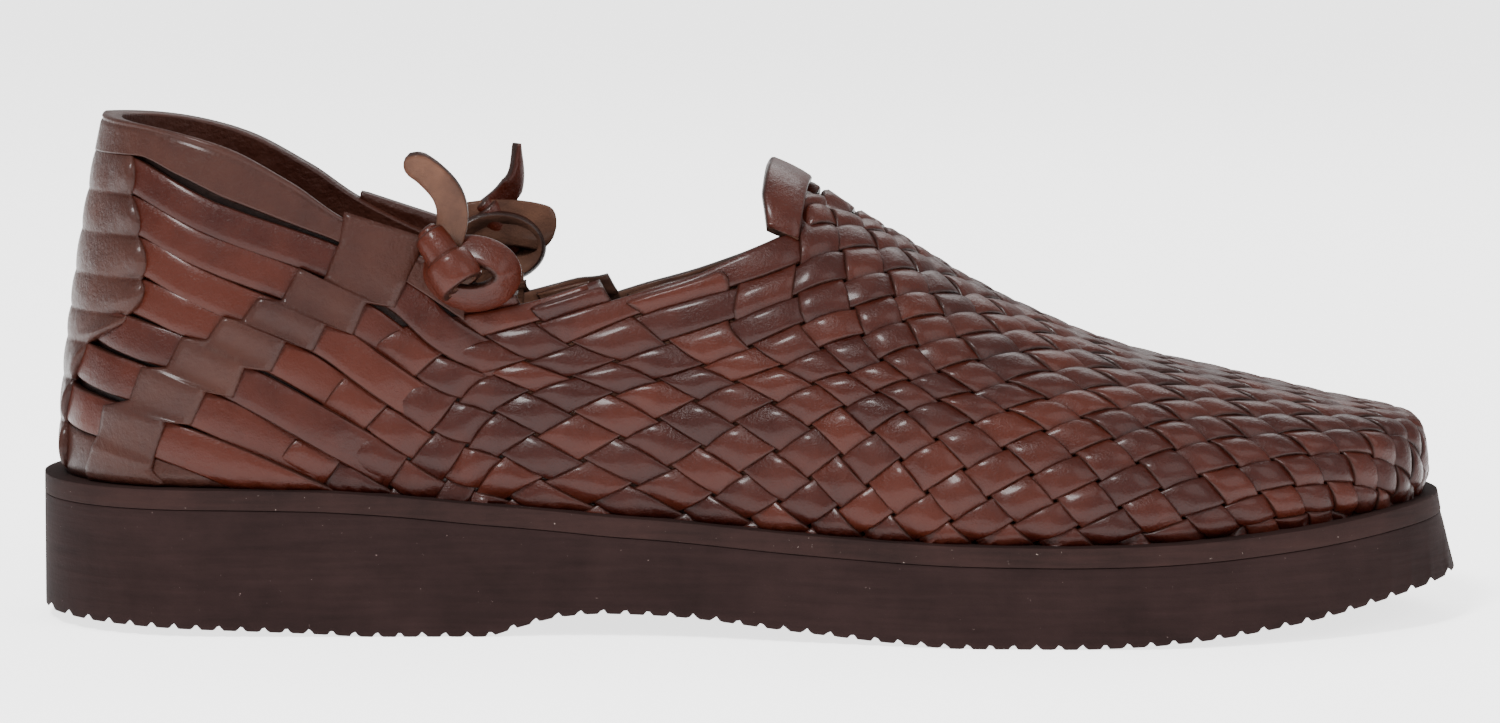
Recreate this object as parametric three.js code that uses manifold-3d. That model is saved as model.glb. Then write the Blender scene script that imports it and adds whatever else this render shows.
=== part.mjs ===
// Huarache sandal for a right foot: a woven leather upper on a rubber wedge sole.
// Millimetres, +Z up, toe towards +X, inner side of the foot towards +Y.
// The origin lies on the floor, below the middle of the sole.
import * as THREE from 'three';
import Module from 'manifold-3d';

const wasm = await Module();
wasm.setup();

// Sole sizes
const soleLength = 295;
const ballWidth = 106;
const heelHeight = 30;
const foreThickness = 20.4;
const toeLift = 5.8;
const toeSpring = 10;
const archHeight = 4.9;
const heelRoll = 2.6;
const midsoleThickness = 4;
const toeDraft = 3.6;
const sideDraft = 1.2;
const treadPitch = 4.6;
const treadDepth = 1.1;
const treadWidth = 1.8;
const clearance = 0.3;

// Upper sizes
const heelInset = 5;
const toeInset = 7;
const sideInset = 5;
const backHeight = 104.9;
const collarLow = 67;
const crownHeight = 88.9;
const toeHeight = 51.2;
const toeCentre = 52.5;
const heelCentre = 39.5;
const strapWidth = 8.4;
const strapThickness = 1.8;
const wallThickness = 3.6;
const insoleThickness = 3;
const insoleClearance = 0.8;

// Weave sizes
const crownRow = 11;
const footRow = -3;
const toeRowPitch = 4.6;
const evenFrom = 0.515;
const evenOver = 0.07;
const firstColumn = -2;
const throatColumn = 4;
const collarRow = 4;
const lastColumn = 36;

// Shares of the sole's length and of the ball width: half widths of the outer and inner sides
const SOLE_PLAN = [
  { at: 0.0, outer: 0.345, inner: 0.335 },
  { at: 0.14, outer: 0.352, inner: 0.342 },
  { at: 0.3, outer: 0.345, inner: 0.315 },
  { at: 0.42, outer: 0.358, inner: 0.305 },
  { at: 0.55, outer: 0.43, inner: 0.37 },
  { at: 0.66, outer: 0.492, inner: 0.466 },
  { at: 0.76, outer: 0.5, inner: 0.5 },
  { at: 0.88, outer: 0.462, inner: 0.484 },
  { at: 1.0, outer: 0.41, inner: 0.45 },
];
const heelEnd = { share: 0.13, power: 2.15 };
const toeEnd = { share: 0.25, power: 2.2 };

// Side view of the sole: shares of the wedge's rise, the toe's rise, the heel's roll and the arch
const SOLE_SIDE = [
  { at: 0.0, wedge: 1.0, toe: 0.0, roll: 1.0, arch: 0.0 },
  { at: 0.12, wedge: 1.0, toe: 0.0, roll: 0.6, arch: 0.0 },
  { at: 0.19, wedge: 0.97, toe: 0.0, roll: 0.3, arch: 0.0 },
  { at: 0.245, wedge: 0.88, toe: 0.0, roll: 0.0, arch: 0.0 },
  { at: 0.315, wedge: 0.68, toe: 0.0, roll: 0.0, arch: 0.0 },
  { at: 0.34, wedge: 0.62, toe: 0.0, roll: 0.0, arch: 0.4 },
  { at: 0.37, wedge: 0.54, toe: 0.0, roll: 0.0, arch: 0.86 },
  { at: 0.4, wedge: 0.45, toe: 0.0, roll: 0.0, arch: 1.0 },
  { at: 0.44, wedge: 0.37, toe: 0.0, roll: 0.0, arch: 0.94 },
  { at: 0.535, wedge: 0.16, toe: 0.0, roll: 0.0, arch: 0.45 },
  { at: 0.6, wedge: 0.06, toe: 0.0, roll: 0.0, arch: 0.14 },
  { at: 0.645, wedge: 0.02, toe: 0.0, roll: 0.0, arch: 0.0 },
  { at: 0.715, wedge: 0.0, toe: 0.0, roll: 0.0, arch: 0.0 },
  { at: 0.75, wedge: 0.0, toe: 0.03, roll: 0.0, arch: 0.0 },
  { at: 0.81, wedge: 0.0, toe: 0.15, roll: 0.0, arch: 0.0 },
  { at: 0.88, wedge: 0.0, toe: 0.4, roll: 0.0, arch: 0.0 },
  { at: 0.953, wedge: 0.0, toe: 0.78, roll: 0.0, arch: 0.0 },
  { at: 1.0, wedge: 0.0, toe: 1.0, roll: 0.0, arch: 0.0 },
];

// Sections of the last: the crown as a share of the crown height at the throat, the fullness of
// the curve, and the lean and bulge of the wall in millimetres
const LAST_SECTIONS = [
  { at: 0.134, crown: 1.69, power: 3.0, lean: 11.6, bulge: 2.4 },
  { at: 0.25, crown: 1.53, power: 2.9, lean: 10.0, bulge: 1.8 },
  { at: 0.35, crown: 1.37, power: 2.8, lean: 8.0, bulge: 1.5 },
  { at: 0.42, crown: 1.26, power: 2.65, lean: 6.5, bulge: 1.5 },
  { at: 0.47, crown: 1.15, power: 2.5, lean: 5.0, bulge: 1.5 },
  { at: 0.515, crown: 1.06, power: 2.35, lean: 3.5, bulge: 1.5 },
  { at: 0.55, crown: 1.0, power: 2.25, lean: 2.0, bulge: 1.5 },
  { at: 0.578, crown: 0.942, power: 2.2, lean: 1.0, bulge: 1.5 },
  { at: 0.607, crown: 0.886, power: 2.2, lean: 0.0, bulge: 1.5 },
  { at: 0.635, crown: 0.826, power: 2.2, lean: 0.0, bulge: 1.5 },
  { at: 0.663, crown: 0.772, power: 2.2, lean: 0.0, bulge: 1.5 },
  { at: 0.706, crown: 0.701, power: 2.25, lean: 0.0, bulge: 1.5 },
  { at: 0.749, crown: 0.641, power: 2.35, lean: 0.0, bulge: 1.4 },
  { at: 0.785, crown: 0.603, power: 2.45, lean: 0.0, bulge: 1.4 },
  { at: 0.822, crown: 0.576, power: 2.5, lean: 0.0, bulge: 1.4 },
];
const toePower = 4;
const toeSlope = 0.24;

// Collar edge from the middle of the back, as a share of its rise over the lowest point
const COLLAR_LINE = [
  { at: 0.0, rise: 1.0 },
  { at: 0.09, rise: 0.966 },
  { at: 0.178, rise: 0.868 },
  { at: 0.233, rise: 0.66 },
  { at: 0.265, rise: 0.488 },
  { at: 0.298, rise: 0.351 },
  { at: 0.338, rise: 0.216 },
  { at: 0.38, rise: 0.106 },
  { at: 0.414, rise: 0.016 },
  { at: 0.449, rise: 0.01 },
  { at: 0.52, rise: 0.0 },
];

// Height between rows of the weave behind the vamp, as shares of the strap width
const ROW_PITCH = [
  { at: 0.2, pitch: 0.51 },
  { at: 0.297, pitch: 0.512 },
  { at: 0.415, pitch: 0.53 },
  { at: 0.473, pitch: 0.583 },
  { at: 0.515, pitch: 0.655 },
  { at: 0.558, pitch: 0.75 },
];

// Columns of the weave as shares of the sole's length, low on the side and along the crown
const COLUMNS = [
  { column: -8, low: 0.08, crown: 0.42 },
  { column: -4, low: 0.193, crown: 0.48 },
  { column: -2, low: 0.256, crown: 0.505 },
  { column: 0, low: 0.317, crown: 0.53 },
  { column: 2, low: 0.375, crown: 0.552 },
  { column: 4, low: 0.437, crown: 0.5715 },
  { column: 6, low: 0.492, crown: 0.589 },
  { column: 8, low: 0.542, crown: 0.61 },
  { column: 10, low: 0.584, crown: 0.642 },
  { column: 12, low: 0.63, crown: 0.672 },
  { column: 14, low: 0.676, crown: 0.705 },
  { column: 16, low: 0.726, crown: 0.743 },
  { column: 18, low: 0.777, crown: 0.785 },
  { column: 20, low: 0.83, crown: 0.835 },
  { column: 22, low: 0.88, crown: 0.883 },
  { column: 24, low: 0.929, crown: 0.929 },
  { column: 40, low: 1.31, crown: 1.31 },
];

// Long heel straps: places from the middle of the back and heights, as shares of the
// sole's length and of the back height. They pass behind the arm and reach the weave.
const HEEL_STRAPS = [
  { from: 0.055, fromHeight: 0.875, to: 0.3, toHeight: 0.63 },
  { from: 0.06, fromHeight: 0.79, to: 0.3, toHeight: 0.56 },
  { from: 0.065, fromHeight: 0.7, to: 0.3, toHeight: 0.49 },
  { from: 0.07, fromHeight: 0.62, to: 0.3, toHeight: 0.42 },
  { from: 0.055, fromHeight: 0.56, to: 0.29, toHeight: 0.36 },
  { from: 0.035, fromHeight: 0.495, to: 0.27, toHeight: 0.315 },
];

// Band at the middle of the back: half width at shares of the back height
const BACK_BAND = [
  { at: 0.28, half: 0.03 },
  { at: 0.38, half: 0.035 },
  { at: 0.48, half: 0.05 },
  { at: 0.56, half: 0.08 },
  { at: 0.64, half: 0.1 },
  { at: 0.72, half: 0.092 },
  { at: 0.82, half: 0.08 },
  { at: 0.93, half: 0.07 },
];

// Counter arm: its centre line from the collar down to the sole
const ARM_LINE = [
  { along: 0.0, at: 0.318, height: 0.72 },
  { along: 0.35, at: 0.25, height: 0.6 },
  { along: 0.7, at: 0.17, height: 0.45 },
  { along: 1.0, at: 0.1, height: 0.33 },
];
const armWidth = 13;
const armSlant = { along: 0.55, up: 0.83 };
const heelStrapShare = 0.76;
const throatShare = 0.44;
const counterFront = 60;
const skirtFront = 26;
const skirtHeight = 5.5;
const seatOverlap = 3;

// Heights of the heel's faces over the last, and how deep the strips go into the counter's wall
const bandRise = 0.6;
const armRise = 0.7;
const strapDrop = 0.4;
const skirtDrop = 0.2;
const stripDepth = strapThickness + 0.4;
const wallInside = 0.15;
const collarLip = 0.6;

// Tie straps at the front of the collar
const tieAt = 0.302;
const tieLoopLength = 19;
const tieLoopHeight = 13;
const tieLoopGirth = 3;
const tieKnotSize = 5.5;
const tieTailLength = 22;
const tieTailWidth = 6.5;

const leather = { color: '#64372c', roughness: 0.42, metalness: 0 };
const rubber = { color: '#3d2b2a', roughness: 0.85, metalness: 0 };
const flesh = { color: '#6b4739', roughness: 0.9, metalness: 0 };

const backX = -soleLength / 2;
const OUTER = -1;
const INNER = 1;

// Value of a table's column at a place, on a smooth curve that never overshoots its rows
function follow(rows, column, at, key = 'at') {
  const last = rows.length - 1;
  if (at <= rows[0][key]) return rows[0][column];
  if (at >= rows[last][key]) return rows[last][column];
  let k = 0;
  while (at > rows[k + 1][key]) k += 1;
  const step = (n) => rows[n + 1][key] - rows[n][key];
  const slope = (n) => (rows[n + 1][column] - rows[n][column]) / step(n);
  const tangent = (n) => {
    if (n === 0) return slope(0);
    if (n === last) return slope(last - 1);
    const before = slope(n - 1);
    const after = slope(n);
    return before * after <= 0 ? 0 : (2 * before * after) / (before + after);
  };
  const width = step(k);
  const t = (at - rows[k][key]) / width;
  const rise = rows[k + 1][column] - rows[k][column];
  const a = tangent(k) * width - rise;
  const b = rise - tangent(k + 1) * width;
  return rows[k][column] + t * rise + t * (1 - t) * (a * (1 - t) + b * t);
}

function blend(a, b, t) {
  return a + (b - a) * t;
}

function smooth(t) {
  const s = Math.min(1, Math.max(0, t));
  return s * s * (3 - 2 * s);
}

// Roundness of the outline towards the heel and the toe, from 1 in the middle to 0 at the ends
function endFactor(at) {
  const share = Math.min(1, Math.max(0, at));
  let t = 0;
  let end = heelEnd;
  if (share < heelEnd.share) t = 1 - share / heelEnd.share;
  if (share > 1 - toeEnd.share) {
    t = 1 - (1 - share) / toeEnd.share;
    end = toeEnd;
  }
  return (1 - t ** end.power) ** (1 / end.power);
}

// Signed half width of an outline that is inset from the sole's edge
function outlineY(x, side, insets) {
  const start = backX + insets.heel;
  const length = soleLength - insets.heel - insets.toe;
  const at = (x - start) / length;
  const column = side === OUTER ? 'outer' : 'inner';
  const base = follow(SOLE_PLAN, column, at) * ballWidth - insets.side;
  return side * base * endFactor(at);
}

const SOLE_EDGE = { heel: 0, toe: 0, side: 0 };
const FOOT_EDGE = { heel: heelInset, toe: toeInset, side: sideInset };
const wallInset = wallThickness + insoleClearance;
const INSOLE_EDGE = {
  heel: heelInset + wallInset,
  toe: toeInset + wallInset,
  side: sideInset + wallInset,
};

function share(x) {
  return (x - backX) / soleLength;
}

// Height of the sole's top face
function soleTop(x) {
  const wedge = follow(SOLE_SIDE, 'wedge', share(x)) * (heelHeight - foreThickness);
  return foreThickness + wedge + follow(SOLE_SIDE, 'toe', share(x)) * toeLift;
}

// Height of the sole's bottom face
function soleBottom(x) {
  const at = share(x);
  const roll = follow(SOLE_SIDE, 'roll', at) * heelRoll;
  const arch = follow(SOLE_SIDE, 'arch', at) * archHeight;
  return roll + arch + follow(SOLE_SIDE, 'toe', at) * toeSpring;
}

// Closed solid from points and triangles, turned so that its faces point out
function solidOf(points, triangles) {
  let volume = 0;
  for (const [a, b, c] of triangles) {
    volume += points[a].dot(points[b].clone().cross(points[c]));
  }
  const faces = volume < 0 ? triangles.map(([a, b, c]) => [a, c, b]) : triangles;
  const vertProperties = new Float32Array(points.flatMap((p) => [p.x, p.y, p.z]));
  const triVerts = new Uint32Array(faces.flat());
  return new wasm.Manifold(new wasm.Mesh({ numProp: 3, vertProperties, triVerts }));
}

// Closed solid through rings of points, each ring in the same order, with flat ends
function loft(rings) {
  const count = rings[0].length;
  const triangles = [];
  for (let k = 0; k < rings.length - 1; k += 1) {
    for (let n = 0; n < count; n += 1) {
      const a = k * count + n;
      const b = k * count + ((n + 1) % count);
      triangles.push([a, b, b + count], [a, b + count, a + count]);
    }
  }
  const end = (rings.length - 1) * count;
  for (let n = 1; n < count - 1; n += 1) {
    triangles.push([0, n + 1, n], [end, end + n, end + n + 1]);
  }
  return solidOf(rings.flat(), triangles);
}

// Closed solid round a loop of rings
function ringLoft(rings) {
  const count = rings[0].length;
  const triangles = [];
  rings.forEach((ring, k) => {
    const next = (k + 1) % rings.length;
    for (let n = 0; n < count; n += 1) {
      const m = (n + 1) % count;
      const [a, b, c, d] = [k * count + n, k * count + m, next * count + m, next * count + n];
      triangles.push([a, b, c], [a, c, d]);
    }
  });
  return solidOf(rings.flat(), triangles);
}

// Closed shell over a grid: outer and inner faces from one place function, joined at its edges
function shell(across, up, outer, inner) {
  const points = [];
  const triangles = [];
  const width = up + 1;
  const layer = (across + 1) * width;
  for (const face of [outer, inner]) {
    for (let i = 0; i <= across; i += 1) {
      for (let j = 0; j <= up; j += 1) points.push(face(i / across, j / up));
    }
  }
  for (let i = 0; i < across; i += 1) {
    for (let j = 0; j < up; j += 1) {
      const a = i * width + j;
      const b = a + width;
      triangles.push([a, b, b + 1], [a, b + 1, a + 1]);
      triangles.push([a + layer, b + 1 + layer, b + layer]);
      triangles.push([a + layer, a + 1 + layer, b + 1 + layer]);
    }
  }
  const rim = [];
  for (let i = 0; i < across; i += 1) rim.push(i * width);
  for (let j = 0; j < up; j += 1) rim.push(across * width + j);
  for (let i = across; i > 0; i -= 1) rim.push(i * width + up);
  for (let j = up; j > 0; j -= 1) rim.push(j);
  rim.forEach((a, k) => {
    const b = rim[(k + 1) % rim.length];
    triangles.push([b, a, a + layer], [b, a + layer, b + layer]);
  });
  return solidOf(points, triangles);
}

// Stations along an outline, closer together towards its round ends
function stations(insets, count) {
  const start = backX + insets.heel;
  const length = soleLength - insets.heel - insets.toe;
  const places = [];
  for (let k = 1; k < count; k += 1) {
    const t = k / count;
    const even = blend(t, (1 - Math.cos(Math.PI * t)) / 2, 0.75);
    places.push(start + length * even);
  }
  const tip = length * 0.0015;
  return [start + tip, ...places, start + length - tip];
}

// Slab that follows the sole's outline between two heights, its walls drawn in towards the top
function soleSlab(insets, low, high, lowLevel, highLevel, count) {
  const rings = stations(insets, count).map((x) => {
    const end = Math.max(0, (share(x) - 1 + toeEnd.share) / toeEnd.share);
    const corner = (side, height, level) => {
      const edge = outlineY(x, side, insets);
      const y = edge - Math.sign(edge) * Math.min(sideDraft * level, Math.abs(edge) / 2);
      const drawn = x - toeDraft * level * end ** 2;
      return new THREE.Vector3(drawn, y, height(drawn));
    };
    return [
      corner(OUTER, low, lowLevel),
      corner(INNER, low, lowLevel),
      corner(INNER, high, highLevel),
      corner(OUTER, high, highLevel),
    ];
  });
  return loft(rings);
}

// Notches across the underside of the sole
function treadNotches() {
  const reach = ballWidth;
  const notches = [];
  const count = Math.floor(soleLength / treadPitch);
  for (let k = 0; k < count; k += 1) {
    const x = (k - (count - 1) / 2) * treadPitch;
    const corners = [
      [x - treadWidth / 2, soleBottom(x - treadWidth / 2)],
      [x + treadWidth / 2, soleBottom(x + treadWidth / 2)],
      [x, soleBottom(x) + treadDepth],
    ];
    corners[0][0] -= treadWidth / 4;
    corners[0][1] -= treadDepth / 2;
    corners[1][0] += treadWidth / 4;
    corners[1][1] -= treadDepth / 2;
    const ring = (y) => corners.map(([cx, cz]) => new THREE.Vector3(cx, y, cz));
    notches.push(loft([ring(-reach), ring(reach)]));
  }
  return notches.reduce((all, one) => all.add(one));
}

function outsole() {
  const split = (x) => soleTop(x) - midsoleThickness - clearance;
  return soleSlab(SOLE_EDGE, soleBottom, split, 0, 0.85, 48).subtract(treadNotches());
}

function midsole() {
  const low = (x) => soleTop(x) - midsoleThickness;
  return soleSlab(SOLE_EDGE, low, soleTop, 0.87, 1, 46);
}

function insole() {
  const low = (x) => soleTop(x) + clearance;
  const high = (x) => soleTop(x) + clearance + insoleThickness;
  return soleSlab(INSOLE_EDGE, low, high, 0, 0, 40);
}

const SAMPLES = 72;
const sectionStore = new Map();
const heelFan = new THREE.Vector2(backX + heelCentre, 0);
const toeFan = new THREE.Vector2(backX + soleLength - toeCentre, 0);
const heelArc = (Math.PI / 2) * (heelCentre - heelInset);

// Distance from a fan's centre to the foot edge in one direction
function fanReach(centre, angle, side) {
  let near = 0;
  let far = ballWidth;
  for (let k = 0; k < 40; k += 1) {
    const middle = (near + far) / 2;
    const x = centre.x + middle * Math.cos(angle);
    const inside = Math.abs(middle * Math.sin(angle)) < Math.abs(outlineY(x, side, FOOT_EDGE));
    const start = backX + heelInset;
    const end = backX + soleLength - toeInset;
    if (inside && x > start && x < end) near = middle;
    else far = middle;
  }
  return near;
}

// Section of the last: plan direction and reach from its crown to its foot, heights and fullness
function makeSection(zone, value, side) {
  const section = { side };
  if (zone === 'middle') {
    const at = share(value);
    section.centre = new THREE.Vector2(value, 0);
    section.heading = new THREE.Vector2(0, side);
    section.reach = Math.abs(outlineY(value, side, FOOT_EDGE));
    section.crown = follow(LAST_SECTIONS, 'crown', at) * crownHeight;
    for (const name of ['power', 'lean', 'bulge']) section[name] = follow(LAST_SECTIONS, name, at);
    section.slope = 0;
  } else {
    const toe = zone === 'toe';
    const row = toe ? LAST_SECTIONS[LAST_SECTIONS.length - 1] : LAST_SECTIONS[0];
    const angle = toe ? value : Math.PI - value;
    section.centre = toe ? toeFan : heelFan;
    section.heading = new THREE.Vector2(Math.cos(angle), side * Math.sin(angle));
    section.reach = fanReach(section.centre, angle, side);
    const ahead = Math.cos(value);
    section.crown = toe ? toeHeight : row.crown * crownHeight;
    section.power = toe ? blend(row.power, toePower, ahead ** 2) : row.power;
    section.lean = row.lean;
    section.bulge = row.bulge;
    section.slope = toe ? toeSlope * ahead : 0;
  }
  const footX = section.centre.x + section.heading.x * section.reach;
  section.foot = soleTop(footX) + clearance;
  measureSection(section);
  return section;
}

// Place on a section for an angle from 0 at the foot to a quarter turn at the crown
function sectionPlace(section, turn) {
  const power = 2 / section.power;
  const rise = Math.min(1, Math.sin(turn) ** power);
  const out = Math.max(0, Math.cos(turn)) ** power;
  const swell = section.bulge * Math.sin(Math.PI * rise ** 0.4);
  const distance = section.reach * out - section.lean * rise * (1 - rise ** 6) + swell;
  const level = Math.min(1, Math.max(0, distance / section.reach));
  const drop = section.slope * distance * (1 - level ** 4);
  const height = section.foot + (section.crown - section.foot) * rise - drop;
  return [Math.max(0, distance), height];
}

function measureSection(section) {
  section.places = [];
  section.lengths = [0];
  for (let k = 0; k <= SAMPLES; k += 1) {
    section.places.push(sectionPlace(section, (Math.PI / 2) * (k / SAMPLES)));
    if (k === 0) continue;
    const [a, b] = [section.places[k - 1], section.places[k]];
    section.lengths.push(section.lengths[k - 1] + Math.hypot(b[0] - a[0], b[1] - a[1]));
  }
  section.girth = section.lengths[SAMPLES];
}

function sectionAt(zone, value, side) {
  const key = `${zone} ${value.toFixed(4)} ${side}`;
  if (!sectionStore.has(key)) sectionStore.set(key, makeSection(zone, value, side));
  return sectionStore.get(key);
}

function placeOf(section, distance, height) {
  return new THREE.Vector3(
    section.centre.x + section.heading.x * distance,
    section.heading.y * distance,
    height,
  );
}

// Point on a section at a length above its foot, straight down below the foot
function pointUp(section, up) {
  if (up <= 0) return placeOf(section, section.places[0][0], section.foot + up);
  if (up >= section.girth) return placeOf(section, 0, section.places[SAMPLES][1]);
  let k = 0;
  while (section.lengths[k + 1] < up) k += 1;
  const t = (up - section.lengths[k]) / (section.lengths[k + 1] - section.lengths[k]);
  const [a, b] = [section.places[k], section.places[k + 1]];
  return placeOf(section, blend(a[0], b[0], t), blend(a[1], b[1], t));
}

// Section and length up it for a place in the weave: a column, and rows counted from the crown
function weavePlace(column, row) {
  const side = row < 0 ? INNER : OUTER;
  const down = Math.abs(row);
  const lift = Math.max(0, 1 - down / 8) ** 1.2;
  const low = follow(COLUMNS, 'low', column, 'column');
  const x = backX + soleLength * blend(low, follow(COLUMNS, 'crown', column, 'column'), lift);
  const rows = crownRow - footRow;
  const fraction = 1 - down / rows;
  const middle = sectionAt('middle', Math.min(x, toeFan.x), side);
  const even = ((middle.girth / rows) ** 8 + toeRowPitch ** 8) ** (1 / 8);
  const behind = follow(ROW_PITCH, 'pitch', share(x)) * strapWidth;
  const pitch = blend(behind, even, smooth((share(x) - evenFrom) / evenOver));
  if (x > toeFan.x) {
    const forward = x - toeFan.x;
    const sideways = (1 - fraction) * rows * pitch;
    const angle = Math.atan2(sideways, forward);
    const section = sectionAt('toe', angle, side);
    return { section, up: section.girth - Math.hypot(forward, sideways) };
  }
  const spare = middle.girth - rows * pitch;
  const fill = spare > 0 ? Math.max(0, fraction) ** 12 : 1;
  return { section: middle, up: fraction * rows * pitch + spare * fill };
}

function weavePoint(column, row) {
  const place = weavePlace(column, row);
  return pointUp(place.section, place.up);
}

// Section at a length round the heel from the middle of the back, negative on the outer side
function roundSection(along) {
  const side = along < 0 ? OUTER : INNER;
  const length = Math.abs(along);
  if (length < heelArc) return sectionAt('heel', (length / heelArc) * (Math.PI / 2), side);
  return sectionAt('middle', heelFan.x + length - heelArc, side);
}

// Point at a height on the section at a length round the heel
function heelPoint(along, height) {
  const section = roundSection(along);
  const rise = (height - section.foot) / (section.crown - section.foot);
  if (rise <= 0) return placeOf(section, section.reach, height);
  const turn = Math.asin(Math.min(1, rise ** (section.power / 2)));
  return placeOf(section, sectionPlace(section, turn)[0], height);
}

// Point raised from a surface along its outward normal
function raised(surface, a, b, height, step = 0.02) {
  const point = surface(a, b);
  const first = surface(a + step, b).sub(surface(a - step, b));
  const second = surface(a, b + step).sub(surface(a, b - step));
  const normal = first.cross(second).normalize();
  const axis = Math.min(toeFan.x, Math.max(heelFan.x, point.x));
  const outward = new THREE.Vector3(point.x - axis, point.y, point.z - heelHeight);
  if (normal.dot(outward) < 0) normal.negate();
  return point.addScaledVector(normal, height);
}

function collarHeight(along) {
  const rise = follow(COLLAR_LINE, 'rise', Math.abs(along) / soleLength);
  return blend(collarLow, backHeight, rise);
}

// Crossings of the weave: both sides, without the foot opening
function weaveCells() {
  const cells = new Set();
  const reach = crownRow - footRow + 4;
  for (let row = -reach; row <= reach; row += 1) {
    for (let column = firstColumn; column <= lastColumn; column += 1) {
      const crossing = Math.abs(column - row) % 2 === 1;
      const covered = column >= throatColumn || Math.abs(row) > collarRow;
      if (crossing && covered && weavePlace(column, row).up > -strapWidth / 2) {
        cells.add(`${column},${row}`);
      }
    }
  }
  return closeCorners(cells);
}

// Adds the crossing between two that touch at one corner only
function closeCorners(cells) {
  const has = (column, row) => cells.has(`${column},${row}`);
  let changed = true;
  while (changed) {
    changed = false;
    for (const cell of [...cells]) {
      const [column, row] = cell.split(',').map(Number);
      const ahead = has(column + 2, row) && !has(column + 1, row + 1) && !has(column + 1, row - 1);
      const below = has(column, row + 2) && !has(column + 1, row + 1) && !has(column - 1, row + 1);
      if (ahead) cells.add(`${column + 1},${row + 1}`);
      if (below) cells.add(`${column + 1},${row + 1}`);
      changed = changed || ahead || below;
    }
  }
  return cells;
}

const ridgeHeight = 0;
const cornerHeight = -2;

// Woven wall: at each crossing one strap arches over and dives under its neighbours
function wovenWall() {
  const cells = weaveCells();
  const points = [];
  const index = new Map();
  const triangles = [];
  const vertex = (column, row, layer, height) => {
    const key = `${column},${row},${layer}`;
    if (!index.has(key)) {
      index.set(key, points.length);
      points.push(raised(weavePoint, column, row, height));
    }
    return index.get(key);
  };
  const corners = [[-1, 0], [0, 1], [1, 0], [0, -1]];
  for (const cell of cells) {
    const [column, row] = cell.split(',').map(Number);
    const first = Math.abs(column) % 2 === 1 ? 0 : 1;
    const turn = (n) => corners[(n + first) % 4];
    const corner = (n, layer, height) => vertex(column + turn(n)[0], row + turn(n)[1], layer, height);
    const top = [0, 1, 2, 3].map((n) => corner(n, 'corner', cornerHeight));
    const base = [0, 1, 2, 3].map((n) => corner(n, 'inner', -wallThickness));
    const neighbour = (n) => {
      const [c, r] = [turn(n)[0] + turn(n + 1)[0], turn(n)[1] + turn(n + 1)[1]];
      return { c, r, there: cells.has(`${column + c},${row + r}`) };
    };
    const ridges = [0, 2].map((n) => {
      const { c, r } = neighbour(n);
      return vertex(column + c / 2, row + r / 2, 'ridge', ridgeHeight);
    });
    triangles.push([base[0], base[2], base[1]], [base[0], base[3], base[2]]);
    triangles.push([ridges[0], top[1], top[2]], [ridges[0], top[2], ridges[1]]);
    triangles.push([ridges[1], top[3], top[0]], [ridges[1], top[0], ridges[0]]);
    for (let n = 0; n < 4; n += 1) {
      const next = (n + 1) % 4;
      const ridge = ridges[n / 2];
      const { there } = neighbour(n);
      if (n % 2 === 0) triangles.push([top[n], top[next], ridge]);
      if (!there) triangles.push([top[n], base[n], base[next]], [top[n], base[next], top[next]]);
    }
  }
  return solidOf(points, triangles);
}

// Strip of leather on the heel, between two heights above the last
function heelStrip(across, up, place, outer, inner) {
  const face = (height) => (u, v) => raised(heelPoint, ...place(u, v), height, 0.1);
  return shell(across, up, face(outer), face(inner));
}

const throatStart = backX + throatShare * soleLength;

// Wall of the heel counter, from the outer quarter round the back to the inner quarter
function counterWall() {
  const reach = heelArc + counterFront;
  const place = (u, v) => {
    const along = blend(-reach, reach, u);
    return [along, blend(roundSection(along).foot - seatOverlap, collarHeight(along) - collarLip, v)];
  };
  return heelStrip(20, 2, place, -strapThickness, -wallThickness + wallInside);
}

function collarBand(side) {
  const reach = heelArc + (throatStart - heelFan.x);
  const place = (u, v) => {
    const along = side * blend(0, reach, u);
    const top = collarHeight(along);
    return [along, blend(top - strapWidth, top, v)];
  };
  return heelStrip(15, 1, place, 0, -wallThickness);
}

function backBand() {
  const place = (u, v) => {
    const at = blend(BACK_BAND[0].at, BACK_BAND[BACK_BAND.length - 1].at, v);
    const half = follow(BACK_BAND, 'half', at) * soleLength;
    return [blend(-half, half, u), at * backHeight];
  };
  return heelStrip(4, 6, place, bandRise, -stripDepth);
}

function heelStrap(row, side) {
  const place = (u, v) => {
    const along = side * blend(row.from, row.to, u) * soleLength;
    const height = blend(row.fromHeight, row.toHeight, u) * backHeight;
    return [along, height + (v - 0.5) * strapWidth * heelStrapShare];
  };
  return heelStrip(4, 1, place, -strapDrop, -stripDepth);
}

function counterArm(side) {
  const place = (u, v) => {
    const at = follow(ARM_LINE, 'at', u, 'along');
    const height = follow(ARM_LINE, 'height', u, 'along') * backHeight;
    const shift = (v - 0.5) * armWidth;
    return [side * (at * soleLength - shift * armSlant.along), height + shift * armSlant.up];
  };
  return heelStrip(6, 1, place, armRise, -stripDepth);
}

function counterSkirt(side) {
  const reach = heelArc + skirtFront;
  const place = (u, v) => {
    const along = side * blend(0, reach, u);
    const low = roundSection(along).foot;
    return [along, blend(low - seatOverlap, low + skirtHeight, v)];
  };
  return heelStrip(8, 1, place, -skirtDrop, -stripDepth);
}

// Strap along the edge of the throat, over the instep from one side to the other
function throatStrap() {
  const place = (u, v) => {
    const row = blend(-collarRow - 1, collarRow + 1, u);
    const bend = 0.5 * (Math.abs(row) / collarRow) ** 2;
    return [blend(2.2, 3.6, v) + bend, row];
  };
  const face = (height) => (u, v) => raised(weavePoint, ...place(u, v), height);
  return shell(12, 1, face(clearance), face(-wallThickness));
}

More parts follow.
